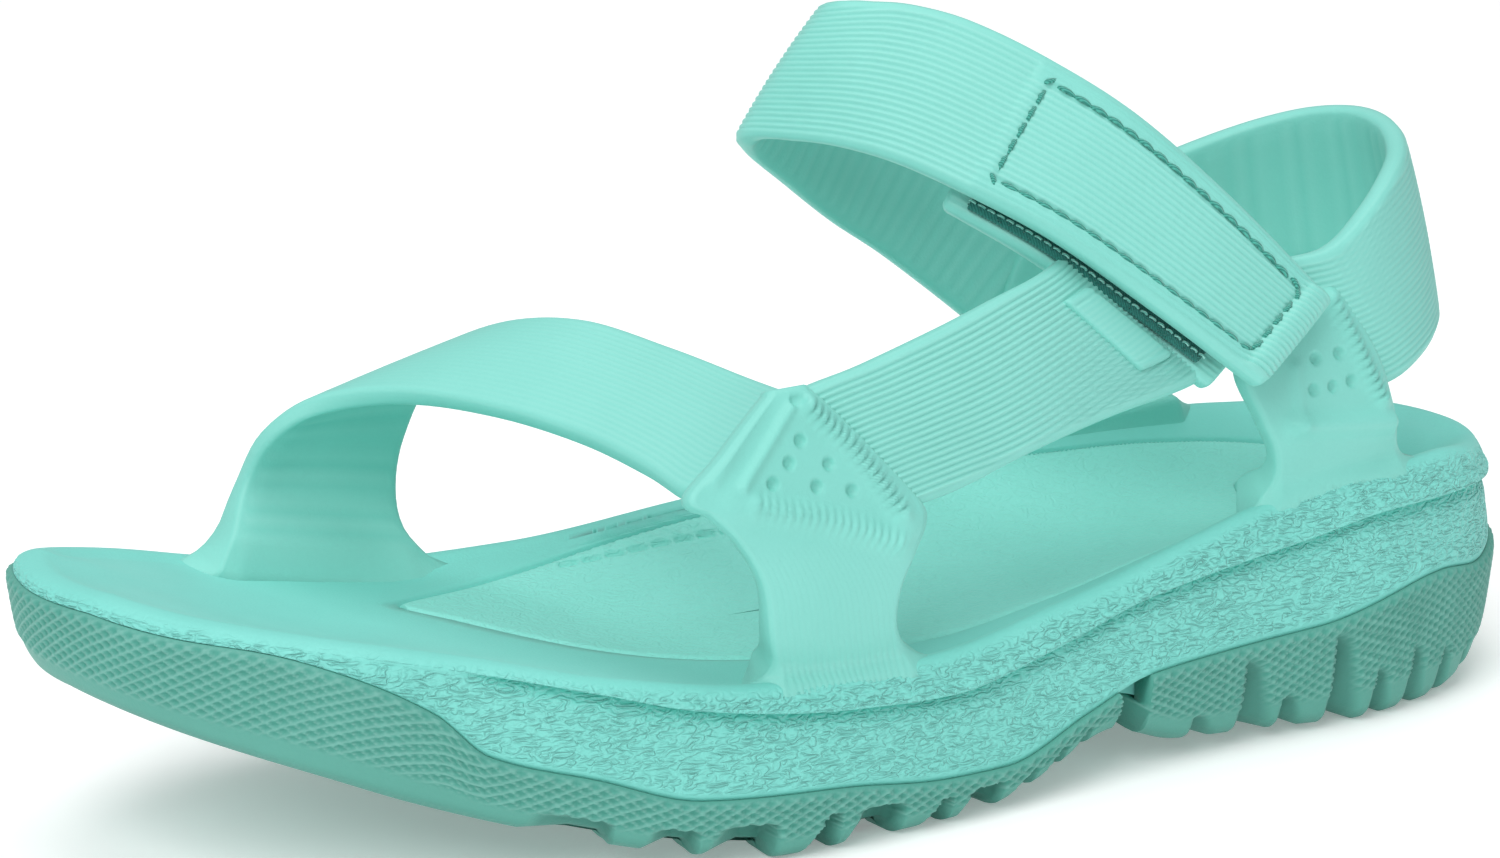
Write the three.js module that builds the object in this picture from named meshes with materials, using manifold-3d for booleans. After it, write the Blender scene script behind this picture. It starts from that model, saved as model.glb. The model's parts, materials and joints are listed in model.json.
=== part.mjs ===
// Strappy sport sandal for the left foot: moulded foam sole and straps, one sewn hook and loop closure.
// Millimetres, +Z up, toe at -X, heel at +X, outer (lateral) side at -Y, inner (medial) side at +Y.
import * as THREE from 'three';
import { mergeVertices } from 'three/addons/utils/BufferGeometryUtils.js';
import Module from 'manifold-3d';

const wasm = await Module();
wasm.setup();

// ---- driving dimensions -------------------------------------------------------------------
const SOLE_LENGTH = 275;
const SOLE_WIDTH = 96;
const TOTAL_HEIGHT = 129;
const STRAP_THICK = 3.6;
const FLAP_THICK = 3.6;
const PATCH_THICK = 1.3;
const PATCH_MARGIN = 2.6;
const TAB_THICK = 1.0;
const FOOTBED_THICK = 3.0;
const OUTSOLE_WEB = 6.0;
const OUTSOLE_LIP = 6.0;
const WEB_GAP = 0.6;
const LEDGE_STEP = 1.4;
const THREAD_RADIUS = 0.5;
// clearances between pieces that touch in the real sandal
const SEAM_GAP = 0.3;
const PATCH_GAP = 0.3;
// the tables below are drawn at this size and scaled to the driving sizes
const DRAWN_LENGTH = 275;
const DRAWN_WIDTH = 96;
const DRAWN_HEIGHT = 129;
const SIZE = new THREE.Vector3(
  SOLE_LENGTH / DRAWN_LENGTH, SOLE_WIDTH / DRAWN_WIDTH, TOTAL_HEIGHT / DRAWN_HEIGHT);

// ---- tables: plan outline of the sole, toe tip first, round the lateral side to the heel and back
const OUTLINE = [
  [-137.5, 20], [-135, 2], [-124, -16], [-103, -31], [-70, -42.5], [-35, -48], [0, -46], [34, -41.5],
  [68, -38.5], [99, -37], [123, -27.5], [137, -6], [131.5, 18], [108, 32], [72, 35], [34, 34],
  [-4, 38], [-40, 44], [-76, 47], [-108, 44.5], [-130.5, 36],
];
const LATERAL_SPANS = 11;
const MEDIAL_SPANS = OUTLINE.length - LATERAL_SPANS;
// heights along X: rim, overhanging ledge and parting line on both sides, ground line, footbed
const RIM_LATERAL = [
  [-134, 48], [-113, 44.9], [-85, 40], [-62, 34.5], [-34, 30.3], [-2, 29.3], [30, 33.5], [48, 37.6],
  [70, 42.9], [87, 46], [110, 46], [133, 42.5],
];
const RIM_MEDIAL = [
  [-134, 48], [-115, 43.5], [-92, 37.8], [-58, 33], [-39, 33.5], [-3, 38.5], [30, 41], [60, 42],
  [94, 42.5], [110, 42], [133, 42.5],
];
const LEDGE_LATERAL = [
  [-134, 46.8], [-100, 41.5], [-83, 38], [-64, 33], [-48, 28.5], [-21, 24.5], [1, 23], [21, 26.3],
  [43, 31.8], [75, 36], [97, 39], [119, 38.5], [133, 37],
];
const LEDGE_MEDIAL = [
  [-134, 46.8], [-100, 38], [-64, 29], [-20, 26], [20, 29], [60, 33], [97, 36], [133, 37],
];
const PARTING_LATERAL = [
  [-134, 45.8], [-126, 44.6], [-115, 43], [-102, 38.6], [-90, 32], [-82, 24.5], [-65, 19], [-48, 13.5],
  [-21, 11.5], [-1, 8.9], [12, 8.5], [30, 14.2], [43, 18.3], [60, 19.5], [80, 20.5], [109, 25.5],
  [121, 24], [133, 25],
];
const PARTING_MEDIAL = [
  [-134, 45.8], [-115, 38], [-90, 27], [-65, 18], [-48, 14], [-20, 11], [12, 9], [30, 14.2],
  [43, 18.3], [80, 20.5], [109, 24], [133, 25],
];
const GROUND = [
  [-137, 30], [-121, 25], [-107, 20.5], [-93, 15.5], [-78, 10.8], [-63, 6.4], [-46, 2.4], [-30, 0], [6, 0],
  [20, 3], [36, 8.5], [42, 7], [52, 3.6], [66, 2.2], [82, 0.8], [93, 0], [110, 0], [124, 2], [137, 8],
];
const FOOTBED_HEIGHT = [
  [-134, 47], [-115, 42.5], [-90, 36], [-62, 30.5], [-30, 27.6], [0, 27.6], [30, 29.5], [60, 32],
  [95, 33.5], [115, 35], [133, 41],
];
// plan line of the soft inlay, pointed at the medial front
const INLAY_PLAN = [
  [-69, 21], [-63, 11], [-48, -9], [-34, -20], [-18, -27], [10, -30], [45, -28], [80, -25], [103, -18],
  [113, -3], [108, 14], [86, 22], [52, 25], [20, 26], [-8, 29], [-32, 31], [-52, 27.5],
];
// straps: each station is one line across the strap, from edge A to edge B
const TOE_STRAP = [
  [-97, 38, 36, -59, 41, 27], [-92.5, 42, 43, -60, 45, 36], [-88, 44.3, 50, -59.5, 46, 44.5],
  [-84, 41.8, 59, -58, 44.5, 55.5], [-77, 35.5, 65.5, -54, 39, 68.5], [-67, 23.5, 68.5, -45.5, 29, 75.8],
  [-57.3, 8.5, 68.2, -37, 15.5, 78.3], [-49.8, -8, 66.6, -29, -1.5, 76.2], [-46.5, -24, 64.8, -24.5, -18.5, 74.6],
  [-46, -36, 63.2, -25.5, -32.5, 75.6], [-44.5, -40.3, 64, -28, -37.8, 76.8],
];
const FRONT_JUNCTION = [
  [-30, -38.4, 77.8, -25.5, -38.4, 78.2], [-35, -39.8, 73.7, -20, -40, 73], [-41, -41.3, 68.5, -13.5, -42, 66],
  [-47.5, -42.7, 63, -6.5, -44.3, 57.3], [-44, -44, 60, -5.8, -45, 53.7], [-39.5, -45, 55, -8, -45.6, 49.5],
  [-35.5, -45.3, 47.5, -10.7, -45.5, 43.5], [-33.8, -44.5, 38.5, -10.8, -44.3, 37],
  [-31.8, -42, 31.5, -7.5, -41.6, 31], [-32.5, -39, 26.5, -4.5, -38.5, 26],
];
const MID_STRAP = [
  [-30, -38, 74.5, -14, -43.5, 56], [-21, -38.3, 77.3, -5.5, -44, 57.2], [-11, -37.4, 79.2, 4, -43, 58.8],
  [5, -35.5, 83, 17, -41.2, 62], [18, -32, 85.9, 34, -38.6, 65.2], [29, -26.5, 87.2, 51, -34.6, 67],
  [38.5, -19.5, 88.4, 60.5, -31, 68.3],
];
// one long strap from the medial side over the instep and down to the tip of the flap
const ANKLE_STRAP = [
  [67, 36.5, 53, 84, 34, 70], [57, 38, 60, 77, 36.3, 80], [46, 39, 69, 64.5, 38, 91],
  [35, 38.8, 77.5, 51, 37.8, 100.3], [24, 37.7, 85, 37, 36, 109.8], [13, 35.2, 93.5, 25, 31, 119],
  [3, 30.7, 101, 15, 23.5, 125.2], [-1.8, 23, 105, 11, 14.8, 128], [2.2, 14, 106, 14.5, 8.2, 128.6],
  [7.5, 5, 106, 20.5, 3, 128.2], [13.5, -4.5, 104.4, 28.2, -3.2, 125.8], [22, -15, 99.8, 38.5, -12, 119.8],
  [32.5, -25, 93, 50.9, -20.8, 110.4], [46.5, -34.4, 81.5, 65.9, -28.6, 95.4], [63, -41, 67.8, 81.5, -34, 78.4],
];
const REAR_JUNCTION_LATERAL = [
  [76, -24.5, 80.5, 85, -25.5, 82.5], [71, -28.8, 74.5, 89.5, -28.8, 75.5], [66, -32.2, 67, 94.5, -31.2, 66],
  [69.5, -33.7, 58, 97, -32.6, 57.5], [72, -34.2, 52, 98, -32.8, 52], [72.5, -33.2, 46, 98.8, -31.4, 47],
  [70.5, -31.3, 41, 100.5, -28.7, 42],
];
const REAR_JUNCTION_MEDIAL = [
  [69, 34.5, 83, 80, 33, 85], [63, 36.5, 74, 84.5, 33.8, 77], [59.5, 37.3, 63.5, 88, 34.3, 67],
  [61, 37, 55, 88.5, 34.3, 58.5], [62.5, 36, 48, 88.5, 33.8, 50.5], [61, 34, 42, 91, 31.5, 44],
  [57.5, 31.5, 37, 94, 28.5, 39],
];
const HEEL_STRAP = [
  [89, -31.5, 60, 78, -26, 83], [98, -31, 61, 87, -27.5, 84.5], [105, -29, 63.3, 95, -27, 90],
  [112.5, -24, 65.8, 103, -23, 94.6], [119, -16, 67.5, 111, -15.5, 97.7], [123.3, -5, 69, 117, -4.5, 99.6],
  [123.8, 6, 70, 118.6, 7, 100], [119.5, 16.5, 70.6, 114.5, 16.5, 98.8], [111, 24.5, 70, 106.5, 23.5, 96],
  [100, 30, 68, 95.5, 28.5, 92], [89, 33, 66, 84, 32, 87.5], [80, 34.5, 63.5, 75, 34, 84],
];

// ---- numbers that set how finely the surfaces are cut
const RING = 88;
const PLAN_POINTS = 48;
const STRAP_STEPS_PER_STATION = 3;

// ---- helpers ------------------------------------------------------------------------------
const clamp = (v, lo, hi) => Math.min(hi, Math.max(lo, v));
const mix = (a, b, t) => a + (b - a) * t;
const smooth = (t) => t * t * (3 - 2 * t);

// smooth monotone curve through [x, value] knots
function along(table, x) {
  const n = table.length;
  if (x <= table[0][0]) return table[0][1];
  if (x >= table[n - 1][0]) return table[n - 1][1];
  let i = 0;
  while (x > table[i + 1][0]) i += 1;
  const slope = (k) => (table[k + 1][1] - table[k][1]) / (table[k + 1][0] - table[k][0]);
  const tangent = (k) => {
    if (k === 0) return slope(0);
    if (k === n - 1) return slope(n - 2);
    const a = slope(k - 1);
    const b = slope(k);
    return a * b <= 0 ? 0 : (2 * a * b) / (a + b);
  };
  const h = table[i + 1][0] - table[i][0];
  const t = (x - table[i][0]) / h;
  const a = table[i][1];
  const b = table[i + 1][1];
  const t2 = t * t;
  const t3 = t2 * t;
  return a * (2 * t3 - 3 * t2 + 1) + b * (3 * t2 - 2 * t3)
    + h * (tangent(i) * (t3 - 2 * t2 + t) + tangent(i + 1) * (t3 - t2));
}

// geometry of one closed body from points and triangles
function shell(points, triangles) {
  const flat = [];
  for (const p of points) flat.push(p.x, p.y, p.z);
  const geometry = new THREE.BufferGeometry();
  geometry.setAttribute('position', new THREE.Float32BufferAttribute(flat, 3));
  geometry.setIndex(triangles);
  const merged = mergeVertices(geometry, 1e-3);
  const index = merged.getIndex().array;
  const kept = [];
  for (let i = 0; i < index.length; i += 3) {
    const [a, b, c] = [index[i], index[i + 1], index[i + 2]];
    if (a !== b && b !== c && c !== a) kept.push(a, b, c);
  }
  merged.setIndex(kept);
  return merged;
}

function solid(geometry) {
  const g = geometry.clone();
  g.deleteAttribute('normal');
  g.deleteAttribute('uv');
  const m = mergeVertices(g, 1e-4);
  const mesh = new wasm.Mesh({
    numProp: 3,
    vertProperties: new Float32Array(m.getAttribute('position').array),
    triVerts: new Uint32Array(m.getIndex().array),
  });
  return new wasm.Manifold(mesh);
}

// solid whose faces point out, whichever way round its strap runs
function outwardSolid(g) {
  const body = solid(g);
  if (body.volume() > 0) return body;
  const index = g.getIndex().array;
  const turned = [];
  for (let i = 0; i < index.length; i += 3) turned.push(index[i], index[i + 2], index[i + 1]);
  g.setIndex(turned);
  return solid(g);
}

// the sole outline sampled into paired points: k and RING - k face each other across the foot
const outlineCurve = new THREE.CatmullRomCurve3(
  OUTLINE.map(([x, y]) => new THREE.Vector3(x, y, 0)), true, 'catmullrom', 0.5);

function outlineAt(k) {
  const half = RING / 2;
  const span = k <= half
    ? (LATERAL_SPANS * k) / half
    : OUTLINE.length - (MEDIAL_SPANS * (RING - k)) / half;
  const u = (span / OUTLINE.length) % 1;
  return { point: outlineCurve.getPoint(u), tangent: outlineCurve.getTangent(u) };
}
const rim = [];
for (let k = 0; k < RING; k += 1) {
  const { point, tangent } = outlineAt(k);
  rim.push({ point, out: new THREE.Vector3(tangent.y, -tangent.x, 0).normalize() });
}
const flip = rim[RING / 4].out.dot(rim[RING / 4].point) < 0 ? -1 : 1;
for (const r of rim) r.out.multiplyScalar(flip);

// middle line of the foot, where the rings of the sole close
const SPINE_LINE = [[-108, 12], [-60, 2], [-20, -3], [40, -3], [109, -3]];
const SPINE_FRONT = SPINE_LINE[0][0];
const SPINE_REAR = SPINE_LINE[SPINE_LINE.length - 1][0];
function spinePoint(k) {
  const a = rim[k].point;
  const b = rim[(RING - k) % RING].point;
  const x = clamp((a.x + b.x) / 2, SPINE_FRONT, SPINE_REAR);
  return new THREE.Vector3(x, along(SPINE_LINE, x), 0);
}

// medial weight: 0 on the lateral side, 1 on the medial side
const SIDE_BLEND = 30;
const medial = (y) => smooth(clamp((y + SIDE_BLEND) / (2 * SIDE_BLEND), 0, 1));
const onBoth = (lateralTable, medialTable) => (p) =>
  mix(along(lateralTable, p.x), along(medialTable, p.x), medial(p.y));
const rimHeight = onBoth(RIM_LATERAL, RIM_MEDIAL);
const ledgeHeight = onBoth(LEDGE_LATERAL, LEDGE_MEDIAL);
const partingHeight = onBoth(PARTING_LATERAL, PARTING_MEDIAL);
const groundHeight = (p) => along(GROUND, p.x);
const WEB_BELOW_PARTING = 1.2;
const webHeight = (p) => Math.min(groundHeight(p) + OUTSOLE_WEB, partingHeight(p) - WEB_BELOW_PARTING);

// closed body from rings that follow the sole outline. Each ring lies `inset` inside the outline;
// `part` (1 at that inset, 0 at the spine) draws it in further, and height(point, edge, part) sets its level
function ringed(rings, drop = 0) {
  const points = [];
  const triangles = [];
  rings.forEach((ring) => {
    for (let k = 0; k < RING; k += 1) {
      const edge = rim[k].point;
      const start = edge.clone().addScaledVector(rim[k].out, -ring.inset);
      const p = ring.part === undefined ? start : spinePoint(k).lerp(start, ring.part);
      p.z = ring.height(p, edge, ring.part) - drop;
      points.push(p.multiply(SIZE));
    }
  });
  for (let r = 0; r + 1 < rings.length; r += 1) {
    for (let k = 0; k < RING; k += 1) {
      const a = r * RING + k;
      const b = r * RING + ((k + 1) % RING);
      triangles.push(a, b, b + RING, a, b + RING, a + RING);
    }
  }
  return shell(points, triangles);
}

// cover surface inside the rim: from the rolled rim down to the footbed
const ROLL_INSET = 8;
const ROLL_DROP = 1.0;
const DISH_POWER = 2.2;
const footbedHeight = (grow) => (p, edge, part) => {
  const low = along(FOOTBED_HEIGHT, p.x);
  const high = rimHeight(edge) - ROLL_DROP;
  return mix(low, high, part ** DISH_POWER) + grow;
};

// wall profiles: inset from the outline against the share of the height between two levels
const CORE_INSET = 12;
const CORE_PARTS = [0, 0.5];
const TREAD_INSET = 9;
const OUTSOLE_WALL = [[4.6, 0.02], [2.6, 0.14], [1.2, 0.4], [0.3, 0.75]];
const OUTSOLE_TOP_DROP = 0.9;
const OUTSOLE_TOP_INSET = 0.6;
const LIP_GAP = SEAM_GAP / 2;

// outsole: cup with a raised lip, the full length before it is parted at the arch
function outsoleBody() {
  return ringed([
    ...CORE_PARTS.map((part) => ({ part, inset: CORE_INSET, height: (p) => groundHeight(p) })),
    { inset: TREAD_INSET, height: (p, e) => groundHeight(e) },
    ...OUTSOLE_WALL.map(([inset, share]) => (
      { inset, height: (p, e) => mix(groundHeight(e), partingHeight(e), share) })),
    { inset: 0, height: (p, e) => partingHeight(e) - OUTSOLE_TOP_DROP },
    { inset: OUTSOLE_TOP_INSET, height: (p, e) => partingHeight(e) - LIP_GAP },
    { inset: OUTSOLE_LIP - SEAM_GAP, height: (p, e) => partingHeight(e) - LIP_GAP },
    { inset: OUTSOLE_LIP - LIP_GAP, height: (p, e) => webHeight(e) },
    ...[...CORE_PARTS].reverse().map((part) => ({ part, inset: CORE_INSET, height: (p) => webHeight(p) })),
  ]);
}

const LOWER_TIER_INSETS = [0.9, 0.4, 0.8];
const LOWER_TIER_BULGE = 0.3;
const LEDGE_ROUND = 0.5;
const LEDGE_LEAST = 0.8;
const UPPER_TIER_INSET = 2.6;
const UPPER_TIER_SHARE = 0.45;
const UPPER_TIER_BULGE = 0.3;
const RIM_ROUND_INSET = 3.4;
const RIM_TOP_INSET = 4.8;
const RIM_ROUND_DROP = 0.9;
const DISH_PARTS = [0.86, 0.7, 0.52, 0.34, 0.16, 0];

// midsole: sits in the outsole cup, carries the ledge line and the rolled rim; grow makes an enlarged copy
function midsoleBody(grow = 0, drop = 0) {
  const seat = (p) => webHeight(p) + WEB_GAP;
  const [foot, belly, brow] = LOWER_TIER_INSETS;
  return ringed([
    ...CORE_PARTS.map((part) => ({ part, inset: CORE_INSET, height: seat })),
    { inset: OUTSOLE_LIP + SEAM_GAP, height: (p, e) => seat(e) },
    { inset: OUTSOLE_LIP + LIP_GAP, height: (p, e) => partingHeight(e) + LIP_GAP },
    { inset: foot - grow, height: (p, e) => partingHeight(e) + LIP_GAP },
    { inset: belly - grow,
      height: (p, e) => mix(partingHeight(e), ledgeHeight(e), LOWER_TIER_BULGE) + LIP_GAP },
    { inset: brow - grow,
      height: (p, e) => Math.max(partingHeight(e) + LEDGE_ROUND, ledgeHeight(e) - LEDGE_ROUND) + grow },
    { inset: brow + LEDGE_STEP - grow,
      height: (p, e) => Math.max(partingHeight(e) + LEDGE_LEAST, ledgeHeight(e)) + grow },
    { inset: UPPER_TIER_INSET - grow,
      height: (p, e) => mix(ledgeHeight(e), rimHeight(e), UPPER_TIER_SHARE) + UPPER_TIER_BULGE + grow },
    { inset: RIM_ROUND_INSET - grow, height: (p, e) => rimHeight(e) - RIM_ROUND_DROP + grow },
    { inset: RIM_TOP_INSET, height: (p, e) => rimHeight(e) + grow },
    { inset: ROLL_INSET, height: (p, e) => rimHeight(e) - ROLL_DROP + grow },
    ...DISH_PARTS.map((part) => ({ part, inset: ROLL_INSET, height: footbedHeight(grow) })),
  ], drop);
}

// ---- straps -------------------------------------------------------------------------------
const CROWN = 0.7;
const EDGE_ROUND = 1.1;
const EDGE_SPREAD = 0.6;
const FOOT_AXIS_HEIGHT = 35;
const TANGENT_REACH = 0.004;
const FACE_POSITIONS = [-1, -0.6, -0.2, 0.2, 0.6, 1];
const ROUND_SHARE = 0.35;

function edgeCurves(stations) {
  const a = stations.map((s) => new THREE.Vector3(s[0], s[1], s[2]).multiply(SIZE));
  const b = stations.map((s) => new THREE.Vector3(s[3], s[4], s[5]).multiply(SIZE));
  return [a, b].map((edge) => new THREE.CatmullRomCurve3(edge, false, 'catmullrom', 0.5));
}

// frame across a strap at parameter t: middle, unit across, unit outward normal, half width
function strapFrame(curves, t, outward) {
  const t0 = clamp(t - TANGENT_REACH, 0, 1);
  const t1 = clamp(t + TANGENT_REACH, 0, 1);
  const a = curves[0].getPoint(t);
  const b = curves[1].getPoint(t);
  const mid = a.clone().add(b).multiplyScalar(0.5);
  const before = curves[0].getPoint(t0).add(curves[1].getPoint(t0)).multiplyScalar(0.5);
  const after = curves[0].getPoint(t1).add(curves[1].getPoint(t1)).multiplyScalar(0.5);
  const across = b.clone().sub(a);
  const half = across.length() / 2;
  across.normalize();
  const normal = new THREE.Vector3().crossVectors(across, after.clone().sub(before)).normalize();
  if (outward < 0) normal.negate();
  return { mid, across, normal, half, along: after.sub(before).normalize() };
}

// which sign of across x along points away from the foot
function outwardSign(curves) {
  const f = strapFrame(curves, 0.5, 1);
  const axis = new THREE.Vector3(f.mid.x, 0, FOOT_AXIS_HEIGHT * SIZE.z);
  return f.normal.dot(f.mid.clone().sub(axis)) < 0 ? -1 : 1;
}

// ribbon between two edges. o: from, to (0..1), thick(t) or number, lift, trim at both edges,
// grow (all round, and past both ends), reach (both faces) and crown (rise of the middle over the edges)
function ribbon(stations, o = {}) {
  const curves = edgeCurves(stations);
  const sign = outwardSign(curves);
  const from = o.from ?? 0;
  const to = o.to ?? 1;
  const grow = o.grow ?? 0;
  const reach = o.reach ?? 0;
  const lift = (o.lift ?? 0) + grow + reach;
  const trim = (o.trim ?? 0) - grow - EDGE_SPREAD;
  const crown = o.crown ?? CROWN;
  const steps = Math.max(2, Math.round((stations.length - 1) * (to - from) * STRAP_STEPS_PER_STATION));
  const points = [];
  const triangles = [];
  let count = 0;
  for (let i = 0; i <= steps; i += 1) {
    const t = mix(from, to, i / steps);
    const f = strapFrame(curves, t, sign);
    const half = f.half - trim;
    if (i === 0) f.mid.addScaledVector(f.along, -grow);
    if (i === steps) f.mid.addScaledVector(f.along, grow);
    const thick = (typeof o.thick === 'function' ? o.thick(t) : o.thick ?? STRAP_THICK) + 2 * (grow + reach);
    const round = Math.min(EDGE_ROUND, thick * ROUND_SHARE);
    const flat = half - round;
    const outline = [];
    const rise = (x) => crown * (1 - (x / (f.half + EDGE_SPREAD)) ** 2);
    for (const u of FACE_POSITIONS) outline.push([u * flat, lift + rise(u * flat)]);
    outline.push([half, lift - round], [half, lift - thick + round]);
    for (const u of [...FACE_POSITIONS].reverse()) outline.push([u * flat, lift - thick + rise(u * flat)]);
    outline.push([-half, lift - thick + round], [-half, lift - round]);
    count = outline.length;
    for (const [u, v] of outline) {
      points.push(f.mid.clone().addScaledVector(f.across, u).addScaledVector(f.normal, v));
    }
  }
  for (let i = 0; i < steps; i += 1) {
    for (let j = 0; j < count; j += 1) {
      const a = i * count + j;
      const b = i * count + ((j + 1) % count);
      triangles.push(a, a + count, b + count, a, b + count, b);
    }
  }
  // end caps join matching points of the outer and inner faces
  const cap = (base, turn) => {
    const upper = [count - 1, 0, 1, 2, 3, 4, 5, 6];
    const lower = [count - 2, 13, 12, 11, 10, 9, 8, 7];
    for (let j = 0; j + 1 < upper.length; j += 1) {
      const [a, b, c, d] = [upper[j], upper[j + 1], lower[j + 1], lower[j]].map((v) => base + v);
      if (turn) triangles.push(a, c, b, a, d, c);
      else triangles.push(a, b, c, a, c, d);
    }
  };
  cap(0, false);
  cap(steps * count, true);
  return outwardSolid(shell(points, triangles));
}

// thickness that swells towards the end that meets the sole
const FLARE = 4.2;
const flared = (start, end) => (t) => STRAP_THICK + FLARE * smooth(clamp((t - start) / (end - start), 0, 1));
const junctionThick = flared(0.68, 1);
const toeThick = flared(0.25, 0);

// ---- assembly -----------------------------------------------------------------------------
const group = new THREE.Group();
group.name = 'sport_sandal';

const COLOURS = {
  strap: 0x8fded5, midsole: 0x86cfc6, outsole: 0x74b8ac, footbed: 0x8ad3ca, patch: 0x2f7d72, thread: 0x3f8f86,
};

const FOAM_ROUGHNESS = 0.7;
const TAPE_ROUGHNESS = 0.95;
const THREAD_ROUGHNESS = 0.8;
function addPiece(name, body, colour, roughness = FOAM_ROUGHNESS) {
  const mesh = body.getMesh();
  const g = new THREE.BufferGeometry();
  g.setAttribute('position', new THREE.Float32BufferAttribute(Array.from(mesh.vertProperties), 3));
  g.setIndex(Array.from(mesh.triVerts));
  g.computeVertexNormals();
  const material = new THREE.MeshStandardMaterial({ color: colour, roughness, metalness: 0 });
  const node = new THREE.Mesh(g, material);
  node.name = name;
  group.add(node);
}

function box(x0, y0, z0, x1, y1, z1) {
  const g = new THREE.BoxGeometry(x1 - x0, y1 - y0, z1 - z0);
  g.translate((x0 + x1) / 2, (y0 + y1) / 2, (z0 + z1) / 2);
  return solid(g);
}

function prism(plan, inset, z0, z1) {
  const curve = new THREE.CatmullRomCurve3(
    plan.map(([x, y]) => new THREE.Vector3(x, y, 0)), true, 'catmullrom', 0.5);
  const shape = new THREE.Shape();
  const centre = new THREE.Vector3();
  for (let i = 0; i < PLAN_POINTS; i += 1) centre.add(curve.getPoint(i / PLAN_POINTS));
  centre.divideScalar(PLAN_POINTS);
  for (let i = 0; i < PLAN_POINTS; i += 1) {
    const p = curve.getPoint(i / PLAN_POINTS);
    const t = curve.getTangent(i / PLAN_POINTS);
    const out = new THREE.Vector3(-t.y, t.x, 0);
    if (out.dot(p.clone().sub(centre)) < 0) out.negate();
    p.addScaledVector(out, -inset).multiply(SIZE);
    if (i === 0) shape.moveTo(p.x, p.y);
    else shape.lineTo(p.x, p.y);
  }
  const g = new THREE.ExtrudeGeometry(shape, { depth: z1 - z0, bevelEnabled: false });
  g.translate(0, 0, z0);
  return solid(g);
}

// sole
const FAR = 400;
const ARCH_FRONT = 36;
const ARCH_REAR = 43;
const outsole = solid(outsoleBody());
const midsoleFull = solid(midsoleBody());
const lowered = (drop) => solid(midsoleBody(0, drop));
const pocket = prism(INLAY_PLAN, 0, 0, FAR).subtract(lowered(FOOTBED_THICK + SEAM_GAP));
const midsole = midsoleFull.subtract(pocket);
const inlay = midsoleFull.intersect(prism(INLAY_PLAN, SEAM_GAP, 0, FAR)).subtract(lowered(FOOTBED_THICK));

// side notches between the lugs: three sided wedges pushed into the wall at the lower edge
const FRONT_NOTCHES = [0.13, 0.17, 0.21, 0.25, 0.29, 0.33, 0.37];
const HEEL_NOTCHES = [0.395, 0.413, 0.431, 0.449];
const NOTCH_RADIUS = 4.6;
const NOTCH_SIDES = 3;
const NOTCH_HEIGHT = 22;
const NOTCH_REACH = 0.62;
const NOTCH_OUT = 1.0;
function notch(part, side) {
  const k = Math.round((side < 0 ? part : 1 - part) * RING) % RING;
  const edge = rim[k].point;
  const out = rim[k].out;
  const g = new THREE.CylinderGeometry(NOTCH_RADIUS, NOTCH_RADIUS, NOTCH_HEIGHT, NOTCH_SIDES, 1);
  g.rotateX(Math.PI / 2);
  g.rotateZ(Math.atan2(out.y, out.x) - Math.PI / 2);
  const low = groundHeight(edge);
  const lift = mix(low, partingHeight(edge), NOTCH_REACH) - NOTCH_HEIGHT / 2;
  g.translate((edge.x + out.x * NOTCH_OUT) * SIZE.x, (edge.y + out.y * NOTCH_OUT) * SIZE.y, lift * SIZE.z);
  return solid(g);
}
let treaded = outsole;
for (const part of [...FRONT_NOTCHES, ...HEEL_NOTCHES]) {
  for (const side of [-1, 1]) treaded = treaded.subtract(notch(part, side));
}

const frontHalf = box(-FAR, -FAR, -FAR, ARCH_FRONT * SIZE.x, FAR, FAR);
const rearHalf = box(ARCH_REAR * SIZE.x, -FAR, -FAR, FAR, FAR, FAR);
addPiece('forefoot_outsole', treaded.intersect(frontHalf), COLOURS.outsole);
addPiece('heel_outsole', treaded.intersect(rearHalf), COLOURS.outsole);
addPiece('midsole', midsole, COLOURS.midsole);
addPiece('footbed', inlay, COLOURS.footbed);

// straps trimmed by an enlarged sole and by enlarged neighbours
const clearSole = solid(midsoleBody(SEAM_GAP));
const CUT_REACH = 5;
const cutting = { grow: SEAM_GAP, reach: CUT_REACH };
const junction = { thick: junctionThick };
const front = ribbon(FRONT_JUNCTION, junction);
const frontCut = ribbon(FRONT_JUNCTION, { ...junction, ...cutting });
const rearLateral = ribbon(REAR_JUNCTION_LATERAL, junction);
const rearLateralCut = ribbon(REAR_JUNCTION_LATERAL, { ...junction, ...cutting });
const rearMedial = ribbon(REAR_JUNCTION_MEDIAL, junction);
const rearMedialCut = ribbon(REAR_JUNCTION_MEDIAL, { ...junction, ...cutting });
const toe = ribbon(TOE_STRAP, { thick: toeThick });

// closure stack, outside to inside: flap, hook patch, loop patch, fastening strap
const SPANS = ANKLE_STRAP.length - 1;
const HINGE_AT = 9 / SPANS;
const HINGE_GAP = 0.0009;
const PATCH_FROM = 10.6 / SPANS;
const PATCH_TO = 13.6 / SPANS;
const FASTENING_FROM = 10.3 / SPANS;
const FASTENING_TO = 13.8 / SPANS;
const HOOK_LIFT = -(FLAP_THICK + PATCH_GAP);
const LOOP_LIFT = HOOK_LIFT - PATCH_THICK - PATCH_GAP;
const BASE_LIFT = LOOP_LIFT - PATCH_THICK - PATCH_GAP;
const base = { from: FASTENING_FROM, to: FASTENING_TO, lift: BASE_LIFT };
const fastening = ribbon(ANKLE_STRAP, base);
const STACK_OVERRUN = 0.002;
const stackCut = ribbon(ANKLE_STRAP, { ...base, ...cutting, to: FASTENING_TO + STACK_OVERRUN });
const patch = { from: PATCH_FROM, to: PATCH_TO, thick: PATCH_THICK, trim: PATCH_MARGIN };

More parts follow.
